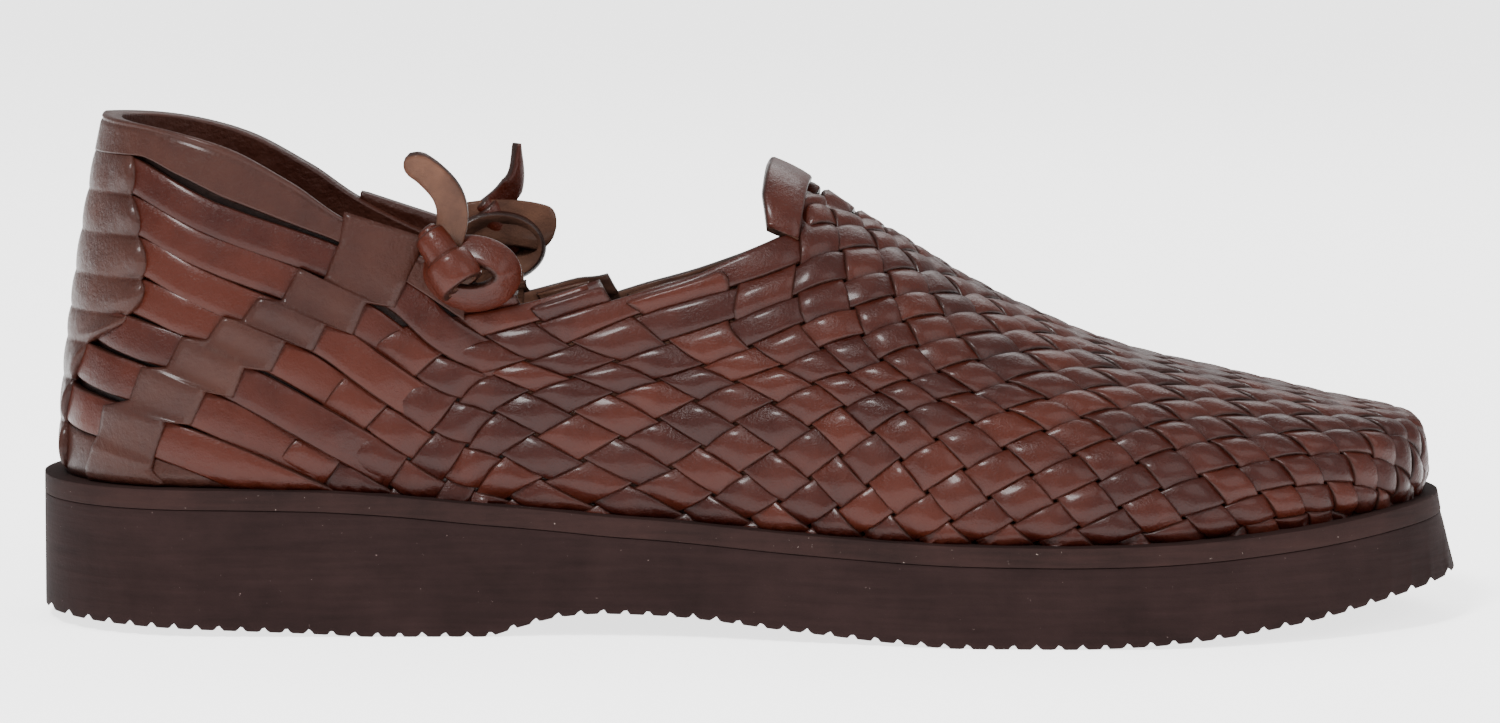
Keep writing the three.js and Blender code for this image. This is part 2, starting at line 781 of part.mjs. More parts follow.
const LOOP_STEPS = 14;

// Point beside the tie: along the collar, up from it and out from the wall
function tiePoint(side, ahead, up, out) {
  const along = heelArc + tieAt * soleLength - heelCentre + ahead;
  return raised(heelPoint, side * along, collarHeight(along) + up, out, 0.1);
}

// Loop, knot and tail of the strap that is tied at the front of the collar
function tie(side, tail) {
  const lift = clearance + 0.2;
  const loop = [];
  for (let k = 0; k < LOOP_STEPS; k += 1) {
    const angle = (k / LOOP_STEPS) * 2 * Math.PI;
    const ring = (grow, out) => tiePoint(
      side,
      Math.cos(angle) * (tieLoopLength / 2 + grow),
      Math.sin(angle) * (tieLoopHeight / 2 + grow),
      out,
    );
    const inside = -tieLoopGirth;
    loop.push([ring(0, lift), ring(inside, lift), ring(inside, lift + tieLoopGirth),
      ring(0, lift + tieLoopGirth)]);
  }
  return ringLoft(loop).add(tieKnot(side, lift)).add(tieTail(side, lift, tail));
}

function tieKnot(side, lift) {
  const rings = [];
  for (let k = 0; k <= 6; k += 1) {
    const t = k / 6;
    const girth = tieKnotSize * (0.72 + 0.28 * Math.sin(Math.PI * t));
    const [ahead, up] = [blend(-9, 4, t), blend(8, -5, t)];
    const ring = [];
    for (let n = 0; n < 8; n += 1) {
      const angle = (n / 8) * 2 * Math.PI;
      const spread = Math.cos(angle) * girth * 0.7;
      const out = lift + girth * (1 + Math.sin(angle));
      ring.push(tiePoint(side, ahead + spread, up + spread, Math.max(lift, out)));
    }
    rings.push(ring);
  }
  return loft(rings);
}

function tieTail(side, lift, tail) {
  const rings = [];
  for (let k = 0; k <= 6; k += 1) {
    const t = k / 6;
    const ahead = blend(-3, tail.ahead, t ** 1.3);
    const up = blend(4, tieTailLength, t);
    const out = lift + tieKnotSize - 2.5 * Math.sin(Math.PI * t);
    const half = (tieTailWidth / 2) * (t > 0.9 ? 0.6 : 1);
    const corner = (s, o) => tiePoint(side, ahead + s * half, up - s * half * 0.4, out + o);
    rings.push([corner(-1, 0), corner(1, 0), corner(1, strapThickness), corner(-1, strapThickness)]);
  }
  return loft(rings);
}

const SEAT_STEPS = 30;

// Space below the sole's top face, which trims the upper's lower edge
function soleSpace() {
  const wide = ballWidth;
  const ends = [backX - 20, backX + soleLength + 20];
  const rings = [];
  for (let k = 0; k <= SEAT_STEPS; k += 1) {
    const x = blend(ends[0], ends[1], k / SEAT_STEPS);
    const top = soleTop(x) + clearance;
    rings.push([
      new THREE.Vector3(x, -wide, -wide),
      new THREE.Vector3(x, wide, -wide),
      new THREE.Vector3(x, wide, top),
      new THREE.Vector3(x, -wide, top),
    ]);
  }
  return loft(rings);
}

function upper() {
  let body = wovenWall().add(counterWall()).add(throatStrap()).add(backBand());
  for (const side of [OUTER, INNER]) {
    body = body.add(collarBand(side)).add(counterArm(side)).add(counterSkirt(side));
    for (const row of HEEL_STRAPS) body = body.add(heelStrap(row, side));
  }
  const trimmed = body.subtract(soleSpace());
  return trimmed.decompose().sort((a, b) => b.volume() - a.volume())[0];
}

function geometryOf(solid) {
  const { vertProperties, triVerts } = solid.getMesh();
  const geometry = new THREE.BufferGeometry();
  geometry.setAttribute('position', new THREE.BufferAttribute(vertProperties, 3));
  geometry.setIndex(new THREE.BufferAttribute(triVerts, 1));
  return geometry;
}

function piece(name, solid, finish) {
  const mesh = new THREE.Mesh(geometryOf(solid), new THREE.MeshStandardMaterial(finish));
  mesh.name = name;
  return mesh;
}

const sandal = new THREE.Group();
sandal.add(piece('outsole', outsole(), rubber));
sandal.add(piece('midsole', midsole(), rubber));
sandal.add(piece('insole', insole(), flesh));
sandal.add(piece('upper', upper(), leather));
sandal.add(piece('tie_outer', tie(OUTER, { ahead: -9 }), leather));
sandal.add(piece('tie_inner', tie(INNER, { ahead: 5 }), leather));

export default sandal;
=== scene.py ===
"""Huarache sandal for a right foot: woven leather straps on a rubber wedge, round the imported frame."""

import logging
import math
from dataclasses import dataclass, field
from enum import Enum
from typing import Callable, Sequence

import bmesh
import bpy
import numpy as np
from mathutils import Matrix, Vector


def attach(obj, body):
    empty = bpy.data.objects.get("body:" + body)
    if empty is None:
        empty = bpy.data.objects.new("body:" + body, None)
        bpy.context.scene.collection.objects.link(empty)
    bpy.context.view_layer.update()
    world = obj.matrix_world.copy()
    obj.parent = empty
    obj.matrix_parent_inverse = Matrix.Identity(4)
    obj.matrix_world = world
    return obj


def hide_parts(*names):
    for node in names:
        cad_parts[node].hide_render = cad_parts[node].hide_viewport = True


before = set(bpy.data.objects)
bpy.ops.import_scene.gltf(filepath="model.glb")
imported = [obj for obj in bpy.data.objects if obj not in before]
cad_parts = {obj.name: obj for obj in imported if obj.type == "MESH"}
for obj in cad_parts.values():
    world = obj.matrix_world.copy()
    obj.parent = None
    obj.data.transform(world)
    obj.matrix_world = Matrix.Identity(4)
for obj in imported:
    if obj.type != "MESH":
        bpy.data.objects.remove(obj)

logging.basicConfig(level=logging.INFO, format="%(message)s")
LOG = logging.getLogger("huarache")
MM = 0.001
OUTER, INNER = -1, 1
Rows = Sequence[dict[str, float]]

# Sizes of the sole and of the upper, in millimetres, as the frame has them
SOLE_LENGTH = 295.0
BALL_WIDTH = 106.0
HEEL_HEIGHT = 30.0
FORE_THICKNESS = 20.4
TOE_LIFT = 5.8
TOE_SPRING = 10.0
ARCH_HEIGHT = 4.9
HEEL_ROLL = 2.6
MIDSOLE_THICKNESS = 4.0
TOE_DRAFT = 3.6
SIDE_DRAFT = 1.2
TREAD_PITCH = 4.6
TREAD_DEPTH = 1.1
CLEARANCE = 0.3
HEEL_INSET = 5.0
TOE_INSET = 7.0
SIDE_INSET = 5.0
BACK_HEIGHT = 104.9
COLLAR_LOW = 67.0
CROWN_HEIGHT = 88.9
TOE_HEIGHT = 51.2
TOE_CENTRE = 52.5
HEEL_CENTRE = 39.5
STRAP_THICKNESS = 1.8
WALL = 3.6
INSOLE_THICKNESS = 3.0
BACK_X = -SOLE_LENGTH / 2


def table(columns: str, *rows: tuple[float, ...]) -> Rows:
    """Table with named columns.

    Args:
        columns: Names of the columns, with a space between them.
        *rows: Values of each row, in the order of the columns.

    Returns:
        The rows, each with its values by name.
    """
    return tuple(dict(zip(columns.split(), row)) for row in rows)


# Sections along the sole and the last, each at its share of the sole's length from the heel. Half widths
# are shares of the ball's width and crowns shares of the crown's height. Power is an exponent, lean and
# bulge are millimetres, and the sole's side and the collar have factors of the sizes above

SOLE_PLAN = table(
    "at outer inner",
    (0.0, 0.345, 0.335), (0.14, 0.352, 0.342), (0.3, 0.345, 0.315), (0.42, 0.358, 0.305),
    (0.55, 0.43, 0.37), (0.66, 0.492, 0.466), (0.76, 0.5, 0.5), (0.88, 0.462, 0.484), (1.0, 0.41, 0.45),
)
HEEL_END = (0.13, 2.15)
TOE_END = (0.25, 2.2)

SOLE_SIDE = table(
    "at wedge toe roll arch",
    (0.0, 1.0, 0.0, 1.0, 0.0), (0.12, 1.0, 0.0, 0.6, 0.0), (0.19, 0.97, 0.0, 0.3, 0.0),
    (0.245, 0.88, 0.0, 0.0, 0.0), (0.315, 0.68, 0.0, 0.0, 0.0), (0.34, 0.62, 0.0, 0.0, 0.4),
    (0.37, 0.54, 0.0, 0.0, 0.86), (0.4, 0.45, 0.0, 0.0, 1.0), (0.44, 0.37, 0.0, 0.0, 0.94),
    (0.535, 0.16, 0.0, 0.0, 0.45), (0.6, 0.06, 0.0, 0.0, 0.14), (0.645, 0.02, 0.0, 0.0, 0.0),
    (0.715, 0.0, 0.0, 0.0, 0.0), (0.75, 0.0, 0.03, 0.0, 0.0), (0.81, 0.0, 0.15, 0.0, 0.0),
    (0.88, 0.0, 0.4, 0.0, 0.0), (0.953, 0.0, 0.78, 0.0, 0.0), (1.0, 0.0, 1.0, 0.0, 0.0),
)

LAST_SECTIONS = table(
    "at crown power lean bulge",
    (0.134, 1.69, 3.0, 11.6, 2.4), (0.25, 1.53, 2.9, 10.0, 1.8), (0.35, 1.37, 2.8, 8.0, 1.5),
    (0.42, 1.26, 2.65, 6.5, 1.5), (0.47, 1.15, 2.5, 5.0, 1.5), (0.515, 1.06, 2.35, 3.5, 1.5),
    (0.55, 1.0, 2.25, 2.0, 1.5), (0.578, 0.942, 2.2, 1.0, 1.5), (0.607, 0.886, 2.2, 0.0, 1.5),
    (0.635, 0.826, 2.2, 0.0, 1.5), (0.663, 0.772, 2.2, 0.0, 1.5), (0.706, 0.701, 2.25, 0.0, 1.5),
    (0.749, 0.641, 2.35, 0.0, 1.4), (0.785, 0.603, 2.45, 0.0, 1.4), (0.822, 0.576, 2.5, 0.0, 1.4),
)
TOE_POWER = 4.0
TOE_SLOPE = 0.24

COLLAR_LINE = table(
    "at rise",
    (0.0, 1.0), (0.09, 0.966), (0.178, 0.868), (0.233, 0.66), (0.265, 0.488), (0.298, 0.351),
    (0.338, 0.216), (0.38, 0.106), (0.414, 0.016), (0.449, 0.01), (0.52, 0.0),
)

# The weave: where the crossings lie. Columns count along the shoe and rows from the crown down; the
# first table gives the place along the shoe, the second the length down from the crown
WEAVE_COLUMNS = (-8, -6, -4, -2, 0, 2, 4, 6, 8, 10, 12, 14, 16, 20, 24, 28, 34)
WEAVE_ALONG = {
    0: (-20, -12, -5, 2, 9, 15, 22, 27.5, 33, 40, 48.5, 58.5, 70, 98, 126, 154, 196),
    3: (-42, -32, -24, -15, -6, 4, 13.5, 22.5, 30.6, 39.5, 48.5, 58.5, 70, 98, 126, 154, 196),
    5: (-99, -85, -70, -54, -39, -20, 4.3, 14.5, 24.8, 34.6, 45.5, 57.5, 70, 98, 126, 154, 196),
    8: (-116, -101, -86, -71, -54, -36.5, -17, 0, 14.5, 26.5, 38.5, 52.5, 68.5, 95, 123.5, 152, 194),
    11: (-110, -95, -80.3, -66, -52.7, -36.5, -19.1, -3.5, 12.3, 25, 38, 52, 66.7, 92.5, 121, 149.5, 191),
    15: (-98, -84, -71, -61, -50, -33, -15, -1, 11.9, 23, 34.4, 46.5, 59.4, 86, 114, 142, 184),
}
WEAVE_DOWN = {
    0: (0.0,) * 17,
    3: (46, 42, 38, 34, 30, 24, 17, 16.5, 17.5, 17, 16, 14.5, 13.2, 12.3, 12.2, 12.2, 12.2),
    5: (82, 79, 74, 69, 60, 50, 33.5, 32, 31, 30, 27, 23.5, 21.5, 20.3, 20.2, 20.2, 20.2),
    8: (95.8, 93.7, 88.5, 84, 78.5, 72, 62.2, 54.5, 49.4, 47.2, 44.6, 39.8, 34.5, 32.3, 32.2, 32, 32),
    11: (115.4, 110.4, 103.9, 98.3, 89, 82.1, 74.9, 67.2, 61.8, 58.4, 55, 51, 47.5, 44.8, 44.4, 44.2, 44),
    15: (135.6, 129.2, 123.4, 116.2, 105.5, 99.2, 91.6, 86, 82.6, 80, 77.8, 73.3, 69.1, 65, 61, 60, 60),
}
OPENING_COLUMN = 4
OPENING_ROW = 6
THROAT_COLUMN = OPENING_COLUMN - 2
THROAT_ROW = 2
FIRST_RISER = 7
# A strand's number is the column at which it crosses the crown, or would but for the opening. The long
# heel straps turn into the odd strands from the first of these down to the last
FIRST_HEEL_STRAND = -9
LAST_HEEL_STRAND = -21
STRANDS = range(-43, 46, 2)
ROW_LIMIT = 19
BELOW_EDGE = 2.5
STRAP_TONES = (0.26, 0.5)
COUNTER_TONES = {"strap": 0.4, "edge": 0.0, "flesh": 0.0}

# Lowest and highest place of each chart, and its steps
WEAVE_CHART = ((-8.5, -20.0), (38.0, 20.0), (0.25, 0.25))
HEEL_CHART = ((-175.0, 16.0), (175.0, 116.0), (1.25, 2.0))
CROWN_CHART = ((-8.0, -28.0), (28.0, 28.0), (2.0, 1.0))


def follow(rows: Rows, column: str, at: float) -> float:
    """Read a table's column at a place, on a smooth curve that never overshoots its rows.

    Args:
        rows: The table, a row for each section.
        column: Name of the column.
        at: Place along the table.

    Returns:
        The column's value there.
    """
    last = len(rows) - 1
    if at <= rows[0]["at"]:
        return rows[0][column]
    if at >= rows[last]["at"]:
        return rows[last][column]
    k = 0
    while at > rows[k + 1]["at"]:
        k += 1

    def step(n: int) -> float:
        """Length of one stretch of the table."""
        return rows[n + 1]["at"] - rows[n]["at"]

    def slope(n: int) -> float:
        """Mean slope over one stretch."""
        return (rows[n + 1][column] - rows[n][column]) / step(n)

    def tangent(n: int) -> float:
        """Slope of the curve at one row."""
        if n == 0:
            return slope(0)
        if n == last:
            return slope(last - 1)
        before, after = slope(n - 1), slope(n)
        return 0.0 if before * after <= 0 else 2 * before * after / (before + after)

    width = step(k)
    t = (at - rows[k]["at"]) / width
    rise = rows[k + 1][column] - rows[k][column]
    a = tangent(k) * width - rise
    b = rise - tangent(k + 1) * width
    return rows[k][column] + t * rise + t * (1 - t) * (a * (1 - t) + b * t)


def mix(a: float, b: float, t: float) -> float:
    """Value between a and b."""
    return a + (b - a) * t


def smooth(t: float) -> float:
    """Soft step from 0 to 1."""
    s = min(1.0, max(0.0, t))
    return s * s * (3 - 2 * s)


def share(x: float) -> float:
    """Place along the sole as a share of its length."""
    return (x - BACK_X) / SOLE_LENGTH


@dataclass(frozen=True)
class Inset:
    """How far an outline lies inside the sole's edge."""

    heel: float = 0.0
    toe: float = 0.0
    side: float = 0.0


SOLE_EDGE = Inset()
FOOT_EDGE = Inset(HEEL_INSET, TOE_INSET, SIDE_INSET)


def outline_y(x: float, side: int, inset: Inset) -> float:
    """Signed half width of an outline at a place along the shoe.

    Args:
        x: Place along the shoe.
        side: OUTER or INNER.
        inset: Distance inside the sole's edge.

    Returns:
        The outline's y.
    """
    at = (x - BACK_X - inset.heel) / (SOLE_LENGTH - inset.heel - inset.toe)
    base = follow(SOLE_PLAN, "outer" if side == OUTER else "inner", at) * BALL_WIDTH - inset.side
    at = min(1.0, max(0.0, at))
    t, power = 0.0, HEEL_END[1]
    if at < HEEL_END[0]:
        t = 1 - at / HEEL_END[0]
    if at > 1 - TOE_END[0]:
        t, power = 1 - (1 - at) / TOE_END[0], TOE_END[1]
    return side * base * (1 - t**power) ** (1 / power)


def sole_top(x: float) -> float:
    """Height of the sole's top face."""
    wedge = follow(SOLE_SIDE, "wedge", share(x)) * (HEEL_HEIGHT - FORE_THICKNESS)
    return FORE_THICKNESS + wedge + follow(SOLE_SIDE, "toe", share(x)) * TOE_LIFT


def sole_bottom(x: float) -> float:
    """Height of the sole's bottom face."""
    at = share(x)
    lift = follow(SOLE_SIDE, "roll", at) * HEEL_ROLL + follow(SOLE_SIDE, "arch", at) * ARCH_HEIGHT
    return lift + follow(SOLE_SIDE, "toe", at) * TOE_SPRING


HEEL_FAN = BACK_X + HEEL_CENTRE
TOE_FAN = BACK_X + SOLE_LENGTH - TOE_CENTRE
HEEL_ARC = math.pi / 2 * (HEEL_CENTRE - HEEL_INSET)


def fan_reach(centre: float, angle: float, side: int) -> float:
    """Distance from a fan's centre to the foot edge in one direction.

    Args:
        centre: x of the fan's centre.
        angle: Direction, from the shoe's axis.
        side: OUTER or INNER.

    Returns:
        The distance.
    """
    near, far = 0.0, BALL_WIDTH
    start, end = BACK_X + HEEL_INSET, BACK_X + SOLE_LENGTH - TOE_INSET
    for _ in range(40):
        middle = (near + far) / 2
        x = centre + middle * math.cos(angle)
        inside = abs(middle * math.sin(angle)) < abs(outline_y(x, side, FOOT_EDGE))
        if inside and start < x < end:
            near = middle
        else:
            far = middle
    return near


@dataclass
class Section:
    """One section of the last, from its foot on the sole up to its crown."""

    centre: float
    heading: tuple[float, float]
    reach: float
    crown: float
    power: float
    lean: float
    bulge: float
    slope: float
    samples: int = 72
    foot: float = field(init=False)
    places: np.ndarray = field(init=False)
    lengths: np.ndarray = field(init=False)

    def __post_init__(self) -> None:
        """Measure the section's length."""
        self.foot = sole_top(self.centre + self.heading[0] * self.reach) + CLEARANCE
        turns = np.linspace(0, math.pi / 2, self.samples + 1)
        self.places = np.array([self.place(t) for t in turns])
        steps = np.linalg.norm(np.diff(self.places, axis=0), axis=1)
        self.lengths = np.concatenate(([0.0], np.cumsum(steps)))

    @property
    def girth(self) -> float:
        """Length from the foot to the crown."""
        return float(self.lengths[-1])

    def place(self, turn: float) -> tuple[float, float]:
        """Distance from the crown's axis and height at a turn from foot to crown."""
        power = 2 / self.power
        rise = min(1.0, math.sin(turn) ** power)
        out = max(0.0, math.cos(turn)) ** power
        swell = self.bulge * math.sin(math.pi * rise**0.4)
        distance = self.reach * out - self.lean * rise * (1 - rise**6) + swell
        level = min(1.0, max(0.0, distance / self.reach))
        drop = self.slope * distance * (1 - level**4)
        return max(0.0, distance), self.foot + (self.crown - self.foot) * rise - drop

    def point(self, distance: float, height: float) -> tuple[float, float, float]:
        """Point of the section in the shoe's frame."""
        return self.centre + self.heading[0] * distance, self.heading[1] * distance, height

    def point_up(self, up: float) -> tuple[float, float, float]:
        """Point at a length above the foot, straight down below it."""
        if up <= 0:
            return self.point(self.places[0][0], self.foot + up)
        distance = float(np.interp(up, self.lengths, self.places[:, 0]))
        return self.point(distance, float(np.interp(up, self.lengths, self.places[:, 1])))

    def point_at(self, height: float) -> tuple[float, float, float]:
        """Point at a height."""
        rise = (height - self.foot) / (self.crown - self.foot)
        if rise <= 0:
            return self.point(self.reach, height)
        turn = math.asin(min(1.0, rise ** (self.power / 2)))
        return self.point(self.place(turn)[0], height)


class Zone(Enum):
    """Which part of the last a section belongs to."""

    HEEL = "heel"
    MIDDLE = "middle"
    TOE = "toe"


SECTIONS: dict[tuple[Zone, float, int], Section] = {}


def section_at(zone: Zone, value: float, side: int) -> Section:
    """Section of the last, kept once it is made.

    Args:
        zone: Part of the last.
        value: x in the middle, or the angle from the shoe's axis in a fan.
        side: OUTER or INNER.

    Returns:
        The section.
    """
    key = (zone, round(value, 4), side)
    if key in SECTIONS:
        return SECTIONS[key]
    if zone is Zone.MIDDLE:
        row = {name: follow(LAST_SECTIONS, name, share(value)) for name in ("power", "lean", "bulge")}
        crown = follow(LAST_SECTIONS, "crown", share(value)) * CROWN_HEIGHT
        reach = abs(outline_y(value, side, FOOT_EDGE))
        made = Section(value, (0.0, side), reach, crown, slope=0.0, **row)
    else:
        toe = zone is Zone.TOE
        row = LAST_SECTIONS[-1] if toe else LAST_SECTIONS[0]
        angle = value if toe else math.pi - value
        centre = TOE_FAN if toe else HEEL_FAN
        ahead = math.cos(value)
        made = Section(
            centre,
            (math.cos(angle), side * math.sin(angle)),
            fan_reach(centre, angle, side),
            TOE_HEIGHT if toe else row["crown"] * CROWN_HEIGHT,
            mix(row["power"], TOE_POWER, ahead**2) if toe else row["power"],
            row["lean"],
            row["bulge"],
            TOE_SLOPE * ahead if toe else 0.0,
        )
    SECTIONS[key] = made
    return made


def read_curve(places: Sequence[float], values: Sequence[float], at: float) -> float:
    """Read a smooth curve through pairs of places and values.

    Args:
        places: Places along the curve, in order.
        values: Value at each place.
        at: Place to read.

    Returns:
        The value there.
    """
    return follow([{"at": place, "value": value} for place, value in zip(places, values)], "value", at)


WEAVE_STORE: dict[float, tuple[list[float], list[float]]] = {}


def weave_point(column: float, row: float) -> tuple[float, float, float]:
    """Point of the last for a place in the weave.

    Args:
        column: Crossing counted along the shoe.
        row: Crossing counted down from the crown, positive on the outer side.

    Returns:
        The point, in millimetres.
    """
    side = INNER if row < 0 else OUTER
    level = abs(row)
    rows = list(WEAVE_ALONG)
    key = round(column, 4)
    if key not in WEAVE_STORE:
        WEAVE_STORE[key] = (
            [read_curve(WEAVE_COLUMNS, WEAVE_ALONG[r], column) for r in rows],
            [read_curve(WEAVE_COLUMNS, WEAVE_DOWN[r], column) for r in rows],
        )
    alongs, downs = WEAVE_STORE[key]
    x, down = read_curve(rows, alongs, level), read_curve(rows, downs, level)
    below = max(0.0, level - rows[-1]) / (rows[-1] - rows[-2])
    x += below * (alongs[-1] - alongs[-2])
    down += below * (downs[-1] - downs[-2])
    if x > TOE_FAN:
        forward = x - TOE_FAN
        section = section_at(Zone.TOE, math.atan2(down, forward), side)
        return section.point_up(section.girth - math.hypot(forward, down))
    section = section_at(Zone.MIDDLE, x, side)
    return section.point_up(section.girth - down)


def round_section(along: float) -> Section:
    """Section at a length round the heel from the middle of the back, negative outside."""
    side = OUTER if along < 0 else INNER
    length = abs(along)
    if length < HEEL_ARC:
        return section_at(Zone.HEEL, length / HEEL_ARC * math.pi / 2, side)
    return section_at(Zone.MIDDLE, HEEL_FAN + length - HEEL_ARC, side)


def heel_point(along: float, height: float) -> tuple[float, float, float]:
    """Point at a height on the section at a length round the heel."""
    return round_section(along).point_at(height)


def collar_height(along: float) -> float:
    """Height of the collar edge at a length round the heel."""
    return mix(COLLAR_LOW, BACK_HEIGHT, follow(COLLAR_LINE, "rise", abs(along) / SOLE_LENGTH))


def curve_weights(t: np.ndarray | float) -> tuple[np.ndarray | float, ...]:
    """Weights of four neighbours on a Catmull-Rom curve.

    Args:
        t: Place between the middle two neighbours, from 0 to 1.

    Returns:
        A weight for each neighbour, in order.
    """
    return (
        (-t + 2 * t**2 - t**3) / 2,
        (2 - 5 * t**2 + 3 * t**3) / 2,
        (t + 4 * t**2 - 3 * t**3) / 2,
        (-(t**2) + t**3) / 2,
    )


@dataclass
class Chart:
    """A surface of the last read from a fine grid, smoothly and for many places at once."""

    surface: Callable[[float, float], tuple[float, float, float]]
    low: tuple[float, float]
    high: tuple[float, float]
    step: tuple[float, float]
    grid: np.ndarray = field(init=False)

    def __post_init__(self) -> None:
        """Fill the grid."""
        us = np.arange(self.low[0], self.high[0] + self.step[0] / 2, self.step[0])
        vs = np.arange(self.low[1], self.high[1] + self.step[1] / 2, self.step[1])
        self.grid = np.array([[self.surface(u, v) for v in vs] for u in us])

    def at(self, places: np.ndarray) -> np.ndarray:
        """Points for an array of places, through a cubic patch of the grid."""
        spots = (places - np.array(self.low)) / np.array(self.step)
        size = np.array(self.grid.shape[:2])
        spots = np.clip(spots, 1.0, size - 2.001)
        cell = np.floor(spots).astype(int)
        t = spots - cell
        total = np.zeros(places.shape[:-1] + (3,))
        for i, along in enumerate(curve_weights(t[..., 0])):
            for j, across in enumerate(curve_weights(t[..., 1])):
                values = self.grid[cell[..., 0] + i - 1, cell[..., 1] + j - 1]
                total += (along * across)[..., None] * values
        return total

    def normals(self, places: np.ndarray) -> np.ndarray:
        """Outward normals for an array of places."""
        du = np.array([0.2 * self.step[0], 0.0])
        dv = np.array([0.0, 0.2 * self.step[1]])
        step_u = self.at(places + du) - self.at(places - du)
        step_v = self.at(places + dv) - self.at(places - dv)
        across = np.cross(step_u, step_v)
        across /= np.linalg.norm(across, axis=-1, keepdims=True) + 1e-12
        points = self.at(places)
        outward = points - np.array([0.0, 0.0, HEEL_HEIGHT])
        outward[..., 0] -= np.clip(points[..., 0], HEEL_FAN, TOE_FAN)
        facing = np.sign(np.sum(across * outward, axis=-1, keepdims=True))
        return across * np.where(facing == 0, 1, facing)


def srgb(code: str, alpha: float = 1.0) -> tuple[float, float, float, float]:
    """Linear colour of an sRGB hex value."""
    parts = [int(code[k : k + 2], 16) / 255 for k in (1, 3, 5)]
    red, green, blue = (c / 12.92 if c <= 0.04045 else ((c + 0.055) / 1.055) ** 2.4 for c in parts)
    return red, green, blue, alpha


def feed(tree: bpy.types.NodeTree, node: bpy.types.Node, **links: object) -> None:
    """Link or set a node's inputs.

    Args:
        tree: Node tree.
        node: Node in it.
        **links: Input names, with _ for a space, or i and a number; an output socket or a value.
    """
    for name, value in links.items():
        key: int | str = int(name[1:]) if name[0] == "i" and name[1:].isdigit() else name.replace("_", " ")
        if isinstance(value, bpy.types.NodeSocket):
            tree.links.new(value, node.inputs[key])
        else:
            node.inputs[key].default_value = value


def add_node(
    tree: bpy.types.NodeTree, kind: str, settings: dict | None = None, **links: object
) -> bpy.types.Node:
    """Add a node with its settings, and link or set its inputs.

    Args:
        tree: Node tree.
        kind: Node type.
        settings: Properties of the node.
        **links: Its inputs, as feed takes them.

    Returns:
        The node.
    """
    node = tree.nodes.new(kind)
    for name, value in (settings or {}).items():
        setattr(node, name, value)
    feed(tree, node, **links)
    return node


def ramp(
    tree: bpy.types.NodeTree, fac: bpy.types.NodeSocket, stops: Sequence[tuple[float, tuple]]
) -> bpy.types.NodeSocket:
    """Colour ramp with the given stops.

    Args:
        tree: Node tree.
        fac: Socket that drives the ramp.
        stops: Position and colour of each stop.

    Returns:
        The ramp's colour socket.
    """
    node = add_node(tree, "ShaderNodeValToRGB", None, Fac=fac)
    elements = node.color_ramp.elements
    while len(elements) < len(stops):
        elements.new(0.5)
    for element, (position, colour) in zip(elements, stops):
        element.position, element.color = position, colour
    return node.outputs["Color"]


def new_material(name: str) -> tuple[bpy.types.Material, bpy.types.NodeTree, bpy.types.Node]:
    """Material with an empty tree, a Principled shader and its output."""
    material = bpy.data.materials.new(name)
    material.use_nodes = True
    tree = material.node_tree
    tree.nodes.clear()
    shader = tree.nodes.new("ShaderNodeBsdfPrincipled")
    output = tree.nodes.new("ShaderNodeOutputMaterial")
    tree.links.new(shader.outputs["BSDF"], output.inputs["Surface"])
    return material, tree, shader


